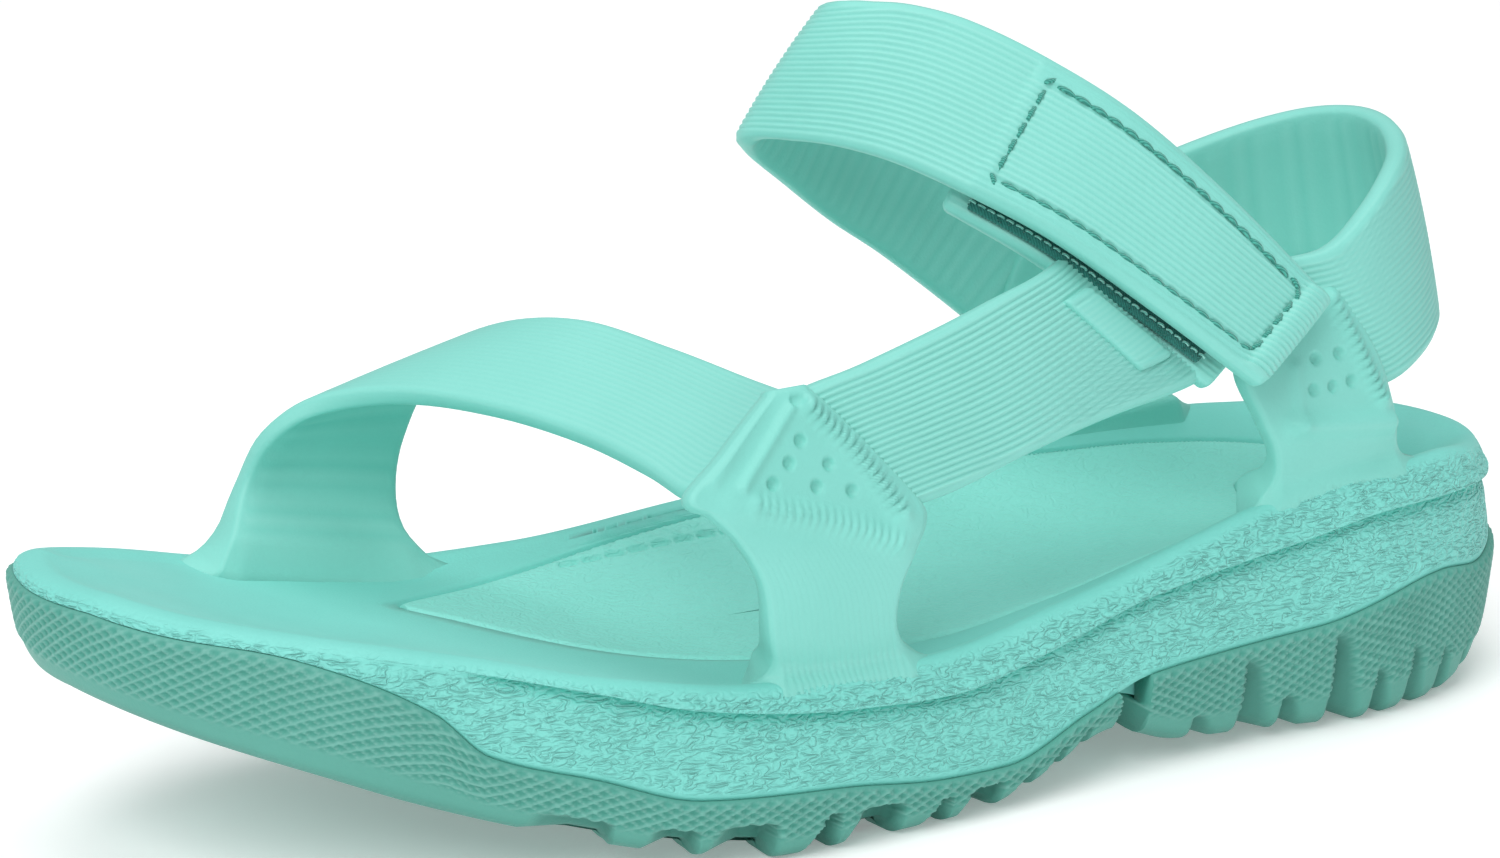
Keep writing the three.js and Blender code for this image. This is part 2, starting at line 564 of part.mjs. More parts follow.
// blank raised plate near the upper end of the mid strap, its long sides along the flap
const TAB_UPPER = 0.1;
const TAB_LOWER = 0.78;
const TAB_FROM = 0.8;
const TAB_TO = 0.885;
const inward = (stations, upper, lower) => stations.map((s) => [
  mix(s[0], s[3], upper), mix(s[1], s[4], upper), mix(s[2], s[5], upper),
  mix(s[0], s[3], lower), mix(s[1], s[4], lower), mix(s[2], s[5], lower)]);

const TAB_LIFT = SEAM_GAP + TAB_THICK + CROWN;
const plate = { from: TAB_FROM, to: TAB_TO, lift: TAB_LIFT, thick: TAB_THICK, trim: EDGE_SPREAD, crown: 0 };

addPiece('toe_strap', toe.subtract(frontCut).subtract(clearSole), COLOURS.strap);
addPiece('front_junction', front.subtract(clearSole), COLOURS.strap);
const midStrap = ribbon(MID_STRAP).subtract(frontCut).subtract(stackCut).subtract(rearLateralCut);
addPiece('mid_strap', midStrap, COLOURS.strap);
addPiece('tab_plate', ribbon(inward(MID_STRAP, TAB_UPPER, TAB_LOWER), plate), COLOURS.strap);
addPiece('fastening_strap', fastening, COLOURS.strap);
addPiece('rear_junction_lateral', rearLateral.subtract(clearSole).subtract(stackCut), COLOURS.strap);
addPiece('rear_junction_medial', rearMedial.subtract(clearSole), COLOURS.strap);
const heelStrap = ribbon(HEEL_STRAP).subtract(rearLateralCut).subtract(rearMedialCut).subtract(stackCut);
addPiece('heel_strap', heelStrap, COLOURS.strap);
const instep = ribbon(ANKLE_STRAP, { to: HINGE_AT - HINGE_GAP }).subtract(rearMedialCut);
addPiece('instep_strap', instep, COLOURS.strap);
const flap = ribbon(ANKLE_STRAP, { from: HINGE_AT + HINGE_GAP, thick: FLAP_THICK });
addPiece('closure_flap', flap, COLOURS.strap);
addPiece('hook_patch', ribbon(ANKLE_STRAP, { ...patch, lift: HOOK_LIFT }), COLOURS.patch, TAPE_ROUGHNESS);
addPiece('loop_patch', ribbon(ANKLE_STRAP, { ...patch, lift: LOOP_LIFT }), COLOURS.patch, TAPE_ROUGHNESS);

// one closed run of thread round the flap, seated on its outer face
const STITCH_FROM = 11.1 / SPANS;
const STITCH_TO = 13.8 / SPANS;
const STITCH_MARGIN = 3.2;
const STITCH_ALONG = 14;
const STITCH_ACROSS = 5;
const STITCH_SIDES = 6;
function threadLoop() {
  const curves = edgeCurves(ANKLE_STRAP);
  const sign = outwardSign(curves);
  const path = [];
  const place = (t, u) => {
    const f = strapFrame(curves, t, sign);
    const side = (f.half - STITCH_MARGIN) * u;
    const rise = CROWN * (1 - (side / f.half) ** 2) + THREAD_RADIUS + SEAM_GAP;
    const p = f.mid.clone().addScaledVector(f.across, side).addScaledVector(f.normal, rise);
    path.push({ p, n: f.normal });
  };
  for (let i = 0; i < STITCH_ALONG; i += 1) place(mix(STITCH_FROM, STITCH_TO, i / STITCH_ALONG), 1);
  for (let i = 0; i < STITCH_ACROSS; i += 1) place(STITCH_TO, mix(1, -1, i / STITCH_ACROSS));
  for (let i = 0; i < STITCH_ALONG; i += 1) place(mix(STITCH_TO, STITCH_FROM, i / STITCH_ALONG), -1);
  for (let i = 0; i < STITCH_ACROSS; i += 1) place(STITCH_FROM, mix(-1, 1, i / STITCH_ACROSS));
  const points = [];
  const triangles = [];
  const n = path.length;
  path.forEach((here, i) => {
    const run = path[(i + 1) % n].p.clone().sub(path[(i + n - 1) % n].p).normalize();
    const side = new THREE.Vector3().crossVectors(here.n, run).normalize();
    for (let j = 0; j < STITCH_SIDES; j += 1) {
      const a = (2 * Math.PI * j) / STITCH_SIDES;
      points.push(here.p.clone().addScaledVector(side, THREAD_RADIUS * Math.cos(a))
        .addScaledVector(here.n, THREAD_RADIUS * Math.sin(a)));
    }
  });
  for (let i = 0; i < n; i += 1) {
    for (let j = 0; j < STITCH_SIDES; j += 1) {
      const a = i * STITCH_SIDES + j;
      const b = i * STITCH_SIDES + ((j + 1) % STITCH_SIDES);
      const c = ((i + 1) % n) * STITCH_SIDES + ((j + 1) % STITCH_SIDES);
      const d = ((i + 1) % n) * STITCH_SIDES + j;
      triangles.push(a, b, c, a, c, d);
    }
  }
  return outwardSolid(shell(points, triangles));
}
addPiece('flap_stitching', threadLoop(), COLOURS.thread, THREAD_ROUGHNESS);

// the frame's origin is the middle of the footprint, at the ground
const bounds = new THREE.Box3().setFromObject(group);
const middle = bounds.getCenter(new THREE.Vector3());
group.position.set(-middle.x, -middle.y, -bounds.min.z);

export default group;
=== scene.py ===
"""Strappy moulded-foam sport sandal: the visible pieces, their finishes, the light and the camera.

Tables are in millimetres, toe at -X, outer side at -Y, and become metres when a mesh is made.
"""
import json
import math

import bmesh
import bpy
import numpy as np
from mathutils import Matrix, Vector
from mathutils.bvhtree import BVHTree


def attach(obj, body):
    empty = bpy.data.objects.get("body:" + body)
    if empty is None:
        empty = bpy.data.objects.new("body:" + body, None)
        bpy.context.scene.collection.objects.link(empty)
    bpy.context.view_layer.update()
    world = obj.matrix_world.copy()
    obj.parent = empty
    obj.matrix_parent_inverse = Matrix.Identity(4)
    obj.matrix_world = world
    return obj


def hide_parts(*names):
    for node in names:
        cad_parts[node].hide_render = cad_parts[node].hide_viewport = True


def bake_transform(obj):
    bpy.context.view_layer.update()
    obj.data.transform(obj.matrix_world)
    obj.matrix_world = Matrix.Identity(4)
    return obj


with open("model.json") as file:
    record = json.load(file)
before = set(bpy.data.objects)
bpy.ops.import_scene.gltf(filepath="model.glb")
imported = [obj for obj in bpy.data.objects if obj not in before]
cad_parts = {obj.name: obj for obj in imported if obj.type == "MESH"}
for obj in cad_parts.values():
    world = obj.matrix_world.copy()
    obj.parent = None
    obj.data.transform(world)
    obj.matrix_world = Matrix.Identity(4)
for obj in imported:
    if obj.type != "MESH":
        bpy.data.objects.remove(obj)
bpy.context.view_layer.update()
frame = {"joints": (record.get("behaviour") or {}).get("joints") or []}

MM = 0.001
# the tables were drawn before the sandal was centred on its footprint
CENTRING = np.array([0.15491485595703125, 0.5398807525634766, 0.0])

# ---- tables of the sole -------------------------------------------------------------------
OUTLINE = [
    (-137.5, 20), (-135, 2), (-124, -16), (-103, -31), (-70, -42.5), (-35, -48), (0, -46),
    (34, -41.5), (68, -38.5), (99, -37), (123, -27.5), (137, -6), (131.5, 18), (108, 32),
    (72, 35), (34, 34), (-4, 38), (-40, 44), (-76, 47), (-108, 44.5), (-130.5, 36),
]
LATERAL_SPANS = 11
RIM_LATERAL = [
    (-134, 48), (-113, 44.9), (-85, 40), (-62, 34.5), (-34, 30.3), (-2, 29.3), (30, 33.5),
    (48, 37.6), (70, 42.9), (87, 46), (110, 46), (133, 42.5),
]
RIM_MEDIAL = [
    (-134, 48), (-115, 43.5), (-92, 37.8), (-58, 33), (-39, 33.5), (-3, 38.5), (30, 41),
    (60, 42), (94, 42.5), (110, 42), (133, 42.5),
]
LEDGE_LATERAL = [
    (-134, 46.8), (-100, 41.5), (-83, 38), (-64, 33), (-48, 28.5), (-21, 24.5), (1, 23),
    (21, 26.3), (43, 31.8), (75, 36), (97, 39), (119, 38.5), (133, 37),
]
LEDGE_MEDIAL = [
    (-134, 46.8), (-100, 38), (-64, 29), (-20, 26), (20, 29), (60, 33), (97, 36), (133, 37),
]
PARTING_LATERAL = [
    (-134, 45.8), (-126, 44.6), (-115, 43), (-102, 38.6), (-90, 32), (-82, 24.5), (-65, 19),
    (-48, 13.5), (-21, 11.5), (-1, 8.9), (12, 8.5), (30, 14.2), (43, 18.3), (60, 19.5),
    (80, 20.5), (109, 25.5), (121, 24), (133, 25),
]
PARTING_MEDIAL = [
    (-134, 45.8), (-115, 38), (-90, 27), (-65, 18), (-48, 14), (-20, 11), (12, 9), (30, 14.2),
    (43, 18.3), (80, 20.5), (109, 24), (133, 25),
]
GROUND = [
    (-137, 30), (-121, 25), (-107, 20.5), (-93, 15.5), (-78, 10.8), (-63, 6.4), (-46, 2.4),
    (-30, 0), (6, 0), (20, 3), (36, 8.5), (42, 7), (52, 3.6), (66, 2.2), (82, 0.8), (93, 0),
    (110, 0), (124, 2), (137, 8),
]
FOOTBED = [
    (-134, 47), (-115, 42.5), (-90, 36), (-62, 30.5), (-30, 27.6), (0, 27.6), (30, 29.5),
    (60, 32), (95, 33.5), (115, 35), (133, 41),
]
SPINE = [(-108, 12), (-60, 2), (-20, -3), (40, -3), (109, -3)]
# plan line of the footbed, pointed at the medial front
INLAY = [
    (-69, 21), (-63, 11), (-48, -9), (-34, -20), (-18, -27), (10, -30), (45, -28), (80, -25),
    (103, -18), (113, -3), (108, 14), (86, 22), (52, 25), (20, 26), (-8, 29), (-32, 31),
    (-52, 27.5),
]
INLAY_HEEL = 9

# ---- straps: each row is one line across the strap, edge to edge --------------------------
TOE_STRAP = [
    (-97, 38, 36, -59, 41, 27), (-92.5, 42, 43, -60, 45, 36), (-88, 44.3, 50, -59.5, 46, 44.5),
    (-84, 41.8, 59, -58, 44.5, 55.5), (-77, 35.5, 65.5, -54, 39, 68.5),
    (-67, 23.5, 68.5, -45.5, 29, 75.8), (-57.3, 8.5, 68.2, -37, 15.5, 78.3),
    (-49.8, -8, 66.6, -29, -1.5, 76.2), (-46.5, -24, 64.8, -24.5, -18.5, 74.6),
    (-46, -36, 63.2, -25.5, -32.5, 75.6), (-44.5, -40.3, 64, -28, -37.8, 76.8),
]
FRONT_JUNCTION = [
    (-30, -38.4, 77.8, -25.5, -38.4, 78.2), (-35, -39.8, 73.7, -20, -40, 73),
    (-41, -41.3, 68.5, -13.5, -42, 66), (-47.5, -42.7, 63, -6.5, -44.3, 57.3),
    (-44, -44, 60, -5.8, -45, 53.7), (-39.5, -45, 55, -8, -45.6, 49.5),
    (-35.5, -45.3, 47.5, -10.7, -45.5, 43.5), (-33.8, -44.5, 38.5, -10.8, -44.3, 37),
    (-31.8, -42, 31.5, -7.5, -41.6, 31), (-32.5, -39, 26.5, -4.5, -38.5, 26),
]
MID_STRAP = [
    (-30, -38, 74.5, -14, -43.5, 56), (-21, -38.3, 77.3, -5.5, -44, 57.2),
    (-11, -37.4, 79.2, 4, -43, 58.8), (5, -35.5, 83, 17, -41.2, 62),
    (18, -32, 85.9, 34, -38.6, 65.2), (29, -26.5, 87.2, 51, -34.6, 67),
    (38.5, -19.5, 88.4, 60.5, -31, 68.3),
]
ANKLE_STRAP = [
    (67, 36.5, 53, 84, 34, 70), (57, 38, 60, 77, 36.3, 80), (46, 39, 69, 64.5, 38, 91),
    (35, 38.8, 77.5, 51, 37.8, 100.3), (24, 37.7, 85, 37, 36, 109.8),
    (13, 35.2, 93.5, 25, 31, 119), (3, 30.7, 101, 15, 23.5, 125.2),
    (-1.8, 23, 105, 11, 14.8, 128), (2.2, 14, 106, 14.5, 8.2, 128.6),
    (7.5, 5, 106, 20.5, 3, 128.2), (13.5, -4.5, 104.4, 28.2, -3.2, 125.8),
    (22, -15, 99.8, 38.5, -12, 119.8), (32.5, -25, 93, 50.9, -20.8, 110.4),
    (46.5, -34.4, 81.5, 65.9, -28.6, 95.4), (63, -41, 67.8, 81.5, -34, 78.4),
]
REAR_LATERAL = [
    (76, -24.5, 80.5, 85, -25.5, 82.5), (71, -28.8, 74.5, 89.5, -28.8, 75.5),
    (66, -32.2, 67, 94.5, -31.2, 66), (69.5, -33.7, 58, 97, -32.6, 57.5),
    (72, -34.2, 52, 98, -32.8, 52), (72.5, -33.2, 46, 98.8, -31.4, 47),
    (70.5, -31.3, 41, 100.5, -28.7, 42),
]
REAR_MEDIAL = [
    (69, 34.5, 83, 80, 33, 85), (63, 36.5, 74, 84.5, 33.8, 77), (59.5, 37.3, 63.5, 88, 34.3, 67),
    (61, 37, 55, 88.5, 34.3, 58.5), (62.5, 36, 48, 88.5, 33.8, 50.5), (61, 34, 42, 91, 31.5, 44),
    (57.5, 31.5, 37, 94, 28.5, 39),
]
HEEL_STRAP = [
    (89, -31.5, 60, 78, -26, 83), (98, -31, 61, 87, -27.5, 84.5), (105, -29, 63.3, 95, -27, 90),
    (112.5, -24, 65.8, 103, -23, 94.6), (119, -16, 67.5, 111, -15.5, 97.7),
    (123.3, -5, 69, 117, -4.5, 99.6), (123.8, 6, 70, 118.6, 7, 100),
    (119.5, 16.5, 70.6, 114.5, 16.5, 98.8), (111, 24.5, 70, 106.5, 23.5, 96),
    (100, 30, 68, 95.5, 28.5, 92), (89, 33, 66, 84, 32, 87.5), (80, 34.5, 63.5, 75, 34, 84),
]
STRAP_THICK = 3.6
EDGE_SPREAD = 0.6
CROWN = 0.7


# ---- curves -------------------------------------------------------------------------------
def smooth(t):
    t = np.clip(t, 0, 1)
    return t * t * (3 - 2 * t)


def mix(a, b, t):
    return a + (b - a) * t


def unit(v):
    return v / np.linalg.norm(v, axis=-1, keepdims=True)


def along(table, x):
    """Smooth curve without overshoot through (x, value) knots."""
    knots = np.asarray(table, float)
    xs, ys = knots[:, 0], knots[:, 1]
    slope = np.diff(ys) / np.diff(xs)
    before, after = slope[:-1], slope[1:]
    total = np.where(before * after <= 0, 1.0, before + after)
    inner = np.where(before * after <= 0, 0.0, 2 * before * after / total)
    tangent = np.concatenate([slope[:1], inner, slope[-1:]])
    x = np.clip(x, xs[0], xs[-1])
    i = np.clip(np.searchsorted(xs, x, side="right") - 1, 0, len(xs) - 2)
    h = xs[i + 1] - xs[i]
    t = (x - xs[i]) / h
    t2, t3 = t * t, t * t * t
    return (ys[i] * (2 * t3 - 3 * t2 + 1) + ys[i + 1] * (3 * t2 - 2 * t3)
            + h * (tangent[i] * (t3 - 2 * t2 + t) + tangent[i + 1] * (t3 - t2)))


def spline(points, u, closed=False):
    """Point and slope at u (0..1) of a Catmull-Rom curve through the points."""
    p = np.asarray(points, float)
    n = len(p)
    if closed:
        ext = np.concatenate([p[-1:], p, p[:2]])
        spans = n
    else:
        ext = np.concatenate([2 * p[:1] - p[1:2], p, 2 * p[-1:] - p[-2:-1]])
        spans = n - 1
    s = np.asarray(u, float) * spans
    i = np.clip(np.floor(s).astype(int), 0, spans - 1)
    w = (s - i)[..., None]
    p0, p1, p2, p3 = ext[i], ext[i + 1], ext[i + 2], ext[i + 3]
    t0, t1 = (p2 - p0) / 2, (p3 - p1) / 2
    c2 = -3 * p1 + 3 * p2 - 2 * t0 - t1
    c3 = 2 * p1 - 2 * p2 + t0 + t1
    return p1 + t0 * w + c2 * w * w + c3 * w ** 3, t0 + 2 * c2 * w + 3 * c3 * w * w


def refine(rows, steps):
    """More rows between the given ones, without overshoot: rows (M, K, 3), steps between each two."""
    rows = np.asarray(rows, float)
    gap = np.maximum(np.linalg.norm(np.diff(rows, axis=0), axis=2), 1e-6)[..., None]
    slope = np.diff(rows, axis=0) / gap
    a, b = slope[:-1], slope[1:]
    same = a * b > 0
    inner = np.where(same, 2 * a * b / np.where(same, a + b, 1.0), 0.0)
    tangent = np.concatenate([slope[:1], inner, slope[-1:]])
    made = []
    for i, count in enumerate(steps):
        for j in range(count):
            t = j / count
            bend = tangent[i] * (t ** 3 - 2 * t * t + t) + tangent[i + 1] * (t ** 3 - t * t)
            made.append(rows[i] * (2 * t ** 3 - 3 * t * t + 1) + rows[i + 1] * (3 * t * t - 2 * t ** 3)
                        + gap[i] * bend)
    made.append(rows[-1])
    return np.array(made)


# ---- node trees ---------------------------------------------------------------------------
class Wire:
    """A node's output; sums on it add Math nodes."""

    def __init__(self, graph, socket):
        self.graph = graph
        self.socket = socket

    def math(self, operation, other=0.0, turned=False):
        pair = (other, self) if turned else (self, other)
        return self.graph.add("ShaderNodeMath", {"operation": operation}, dict(enumerate(pair)))["Value"]


def sum_of_wires(operation, turned):
    return lambda wire, other: wire.math(operation, other, turned)


for sign, operation, turned in (
        ("__add__", "ADD", False), ("__radd__", "ADD", False),
        ("__mul__", "MULTIPLY", False), ("__rmul__", "MULTIPLY", False),
        ("__sub__", "SUBTRACT", False), ("__rsub__", "SUBTRACT", True),
        ("__truediv__", "DIVIDE", False), ("__rtruediv__", "DIVIDE", True),
        ("__pow__", "POWER", False), ("at_most", "MINIMUM", False), ("at_least", "MAXIMUM", False)):
    setattr(Wire, sign, sum_of_wires(operation, turned))


class Made:
    """A node just added; its outputs are read by name."""

    def __init__(self, graph, node):
        self.graph = graph
        self.node = node

    def __getitem__(self, name):
        found = [s for s in self.node.outputs if s.identifier == name] or [self.node.outputs[name]]
        return Wire(self.graph, found[0])


class Graph:
    """A node tree being written."""

    def __init__(self, tree):
        self.tree = tree

    def add(self, kind, settings=None, values=None):
        node = self.tree.nodes.new(kind)
        for key, value in (settings or {}).items():
            if key == "stops":
                ramp = node.color_ramp
                while len(ramp.elements) < len(value):
                    ramp.elements.new(0.5)
                for element, (place, colour) in zip(ramp.elements, value):
                    element.position = place
                    element.color = colour
            else:
                setattr(node, key, value)
        for key, value in (values or {}).items():
            named = [s for s in node.inputs if s.identifier == key]
            socket = named[0] if named else node.inputs[key]
            if isinstance(value, Wire):
                self.tree.links.new(value.socket, socket)
            else:
                socket.default_value = value
        return Made(self, node)


def shape_tree(name, inputs):
    """An empty geometry tree with a Geometry input and output and named inputs (name, kind, default)."""
    tree = bpy.data.node_groups.new(name, "GeometryNodeTree")
    tree.interface.new_socket("Geometry", in_out="INPUT", socket_type="NodeSocketGeometry")
    tree.interface.new_socket("Geometry", in_out="OUTPUT", socket_type="NodeSocketGeometry")
    for label, kind, default in inputs:
        socket = tree.interface.new_socket(label, in_out="INPUT", socket_type="NodeSocket" + kind)
        if default is not None:
            socket.default_value = default
    graph = Graph(tree)
    return graph, graph.add("NodeGroupInput")


def close_tree(graph, start, geometry):
    """Ends a tree in Realize Instances and Set Material, with smooth faces."""
    real = graph.add("GeometryNodeRealizeInstances", {}, {"Geometry": geometry})["Geometry"]
    soft = graph.add("GeometryNodeSetShadeSmooth", {}, {"Geometry": real})["Geometry"]
    done = graph.add("GeometryNodeSetMaterial", {}, {"Geometry": soft, "Material": start["Material"]})
    graph.add("NodeGroupOutput", {}, {"Geometry": done["Geometry"]})
    return graph.tree


def noted(graph, name, kind="FLOAT"):
    return graph.add("GeometryNodeInputNamedAttribute", {"data_type": kind}, {"Name": name})["Attribute"]


def pushed_tree(graph, start, lift):
    """Ends a tree that moves the surface along its normals."""
    normal = graph.add("GeometryNodeInputNormal")["Normal"]
    shift = graph.add("ShaderNodeVectorMath", {"operation": "SCALE"}, {0: normal, "Scale": lift})
    moved = graph.add("GeometryNodeSetPosition", {}, {
        "Geometry": start["Geometry"], "Offset": shift["Vector"]})
    return close_tree(graph, start, moved["Geometry"])


def bent_rod(graph, steps, places, sides, radius):
    """A round rod along a curve that three places set."""
    arc = graph.add("GeometryNodeCurveQuadraticBezier", {}, {
        "Resolution": steps, "Start": places[0], "Middle": places[1], "End": places[2]})["Curve"]
    ring = graph.add("GeometryNodeCurvePrimitiveCircle", {}, {
        "Resolution": sides, "Radius": radius})["Curve"]
    return graph.add("GeometryNodeCurveToMesh", {}, {
        "Curve": arc, "Profile Curve": ring, "Fill Caps": True})["Mesh"]


def ridge_tree():
    """Raised lines: two families of ridges, at whole numbers of the notes line_a and line_b."""
    graph, start = shape_tree("moulded_ridges", [
        ("Height", "Float", 0.2), ("Sharpness", "Float", 1.0), ("Material", "Material", None)])
    lifts = []
    for name in ("line_a", "line_b"):
        wave = (noted(graph, name) * math.pi).math("COSINE")
        lifts.append((wave * wave) ** start["Sharpness"])
    lift = lifts[0].at_least(lifts[1]) * noted(graph, "line_gain") * start["Height"] * MM
    return pushed_tree(graph, start, lift)


def sunk_tree(name, element):
    """Sinks the surface near the marks of another object: dimples at points, slots along edges."""
    graph, start = shape_tree(name, [
        ("Marks", "Object", None), ("Radius", "Float", 1.5), ("Depth", "Float", 0.7),
        ("Floor", "Float", 0.4), ("Material", "Material", None)])
    marks = graph.add("GeometryNodeObjectInfo", {}, {"Object": start["Marks"]})["Geometry"]
    distance = graph.add("GeometryNodeProximity", {"target_element": element}, {0: marks})["Distance"]
    share = (1 - distance / (start["Radius"] * MM)).at_least(0.0) / (1 - start["Floor"])
    share = share.at_most(1.0)
    bowl = share * share * (3 - 2 * share)
    return pushed_tree(graph, start, bowl * start["Depth"] * -MM)


# wrinkles: how finely the noise is laid out per millimetre, and how often it turns into a fold
GRAIN_LAYOUT = (0.48, 0.48, 1.18)
GRAIN_FOLDS = 19.0
GRAIN_WANDER = 0.4


def grain_tree():
    """Wrinkled leather-like grain pressed into the walls, as strong as the note grain says."""
    graph, start = shape_tree("pressed_grain", [
        ("Depth", "Float", 0.3), ("Pitch", "Float", 1.0), ("Material", "Material", None)])
    place = graph.add("GeometryNodeInputPosition")["Position"]
    stretched = graph.add("ShaderNodeVectorMath", {"operation": "MULTIPLY"},
                          {0: place, 1: tuple(size / MM for size in GRAIN_LAYOUT)})["Vector"]
    wander = graph.add("ShaderNodeTexNoise", {"noise_dimensions": "3D"}, {
        "Vector": stretched, "Scale": 1.0 / start["Pitch"], "Detail": 0.0,
        "Distortion": GRAIN_WANDER})["Fac"]
    fold = ((wander * GRAIN_FOLDS).math("COSINE") - 1.0) * 0.5
    return pushed_tree(graph, start, fold * noted(graph, "grain") * start["Depth"] * MM)


def stitch_tree():
    """Saddle stitches of thread laid along the edges of a mesh path whose note out is the way up."""
    graph, start = shape_tree("saddle_stitches", [
        ("Spacing", "Float", 3.2), ("Length", "Float", 2.5), ("Thread", "Float", 0.36),
        ("Material", "Material", None)])
    line = graph.add("GeometryNodeMeshToCurve", {}, {"Mesh": start["Geometry"]})["Curve"]
    dots = graph.add("GeometryNodeResampleCurve", {"mode": "LENGTH"},
                     {"Curve": line, "Length": start["Spacing"] * MM})["Curve"]
    tangent = graph.add("GeometryNodeInputTangent")["Tangent"]
    first = graph.add("FunctionNodeAlignRotationToVector", {"axis": "X"}, {"Vector": tangent})["Rotation"]
    turn = graph.add("FunctionNodeAlignRotationToVector", {"axis": "Z", "pivot_axis": "X"},
                     {"Rotation": first, "Vector": noted(graph, "out", "FLOAT_VECTOR")})["Rotation"]
    reach = start["Length"] * (0.5 * MM)

    def corner(x, z):
        return graph.add("ShaderNodeCombineXYZ", {}, {"X": x, "Z": z})["Vector"]
    sunk = start["Thread"] * -MM
    thread = bent_rod(graph, 6, (corner(reach * -1.0, sunk), corner(0.0, start["Thread"] * (1.9 * MM)),
                                 corner(reach, sunk)), 7, start["Thread"] * MM)
    sewn = graph.add("GeometryNodeInstanceOnPoints", {}, {
        "Points": dots, "Instance": thread, "Rotation": turn})["Instances"]
    return close_tree(graph, start, sewn)


FIBRE_GAP = 0.6 * MM
FIBRE_ROOT = (0.0, 0.0, -0.2 * MM)


def nap_tree():
    """Hooks or loops: many small bent fibres standing on the face that the note nap marks."""
    graph, start = shape_tree("tape_nap", [
        ("Density", "Float", 900000.0), ("Height", "Float", 0.7), ("Fibre", "Float", 0.11),
        ("Reach", "Float", 0.35), ("Seed", "Int", 4), ("Material", "Material", None)])
    dots = graph.add("GeometryNodeDistributePointsOnFaces", {"distribute_method": "POISSON"}, {
        "Mesh": start["Geometry"], "Distance Min": FIBRE_GAP, "Density Max": start["Density"],
        "Density Factor": noted(graph, "nap"), "Seed": start["Seed"]})
    high = start["Height"] * MM
    tip = graph.add("ShaderNodeCombineXYZ", {}, {"X": start["Reach"] * MM, "Z": high * 0.55})["Vector"]
    top = graph.add("ShaderNodeCombineXYZ", {}, {"X": start["Reach"] * (0.5 * MM), "Z": high * 1.5})["Vector"]
    fibre = bent_rod(graph, 5, (FIBRE_ROOT, top, tip), 4, start["Fibre"] * MM)
    spin = graph.add("FunctionNodeRandomValue", {"data_type": "FLOAT"}, {
        "Min_001": 0.0, "Max_001": 2 * math.pi, "Seed": start["Seed"]})["Value_001"]
    about = graph.add("ShaderNodeCombineXYZ", {}, {"Z": spin})["Vector"]
    stood = graph.add("FunctionNodeRotateRotation", {"rotation_space": "LOCAL"}, {
        "Rotation": dots["Rotation"], "Rotate By": about})["Rotation"]
    fibres = graph.add("GeometryNodeInstanceOnPoints", {}, {
        "Points": dots["Points"], "Instance": fibre, "Rotation": stood})["Instances"]
    both = graph.add("GeometryNodeJoinGeometry")
    for part in (start["Geometry"], fibres):
        graph.tree.links.new(part.socket, both.node.inputs["Geometry"])
    return close_tree(graph, start, both["Geometry"])


def worked(piece, *steps):
    """Runs geometry trees on a piece and keeps the result as its plain mesh."""
    for tree, values in steps:
        modifier = piece.modifiers.new(tree.name, "NODES")
        modifier.node_group = tree
        for item in tree.interface.items_tree:
            if item.in_out == "INPUT" and item.name in values:
                modifier[item.identifier] = values[item.name]
    depsgraph = bpy.context.evaluated_depsgraph_get()
    mesh = bpy.data.meshes.new_from_object(piece.evaluated_get(depsgraph))
    piece.modifiers.clear()
    piece.data = mesh
    mesh.name = piece.name
    return piece


# ---- finishes -----------------------------------------------------------------------------
def srgb(red, green, blue):
    def straight(value):
        v = value / 255
        return v / 12.92 if v <= 0.04045 else ((v + 0.055) / 1.055) ** 2.4
    return straight(red), straight(green), straight(blue), 1.0


def finish_graph(name):
    """A new material with its node tree emptied, and its surface coordinates in millimetres."""
    material = bpy.data.materials.new(name)
    material.use_nodes = True
    material.node_tree.nodes.clear()
    graph = Graph(material.node_tree)
    place = graph.add("ShaderNodeTexCoord")["Object"]
    scaled = graph.add("ShaderNodeMapping", {"vector_type": "POINT"},
                       {"Vector": place, "Scale": (1000.0, 1000.0, 1000.0)})["Vector"]
    return material, graph, scaled


def close_finish(graph, colour, roughness, normal, **fixed):
    values = {"Base Color": colour, "Roughness": roughness, "Normal": normal}
    values.update(fixed)
    shader = graph.add("ShaderNodeBsdfPrincipled", {}, values)["BSDF"]
    graph.add("ShaderNodeOutputMaterial", {}, {"Surface": shader})


def noise(graph, place, scale, detail=2.0, **more):
    values = {"Vector": place, "Scale": scale, "Detail": detail}
    values.update(more)
    return graph.add("ShaderNodeTexNoise", {}, values)["Fac"]


def bumped(graph, height, strength, distance):
    return graph.add("ShaderNodeBump", {}, {
        "Height": height, "Strength": strength, "Distance": distance})["Normal"]


def blended(graph, share, first, second):
    return graph.add("ShaderNodeMix", {"data_type": "RGBA"}, {
        "Factor_Float": share, "A_Color": first, "B_Color": second})["Result_Color"]


# colour of the painted highlight on rib and knurl crests
CREST_HIGHLIGHT_COLOUR = srgb(196, 244, 236)
# colour of the painted shade in notches and along the bottom of the outsole wall
DEEP_SHADE = srgb(44, 112, 101)
FINE_BUMP = 0.15 * MM
WEAVE_BUMP = 0.2 * MM


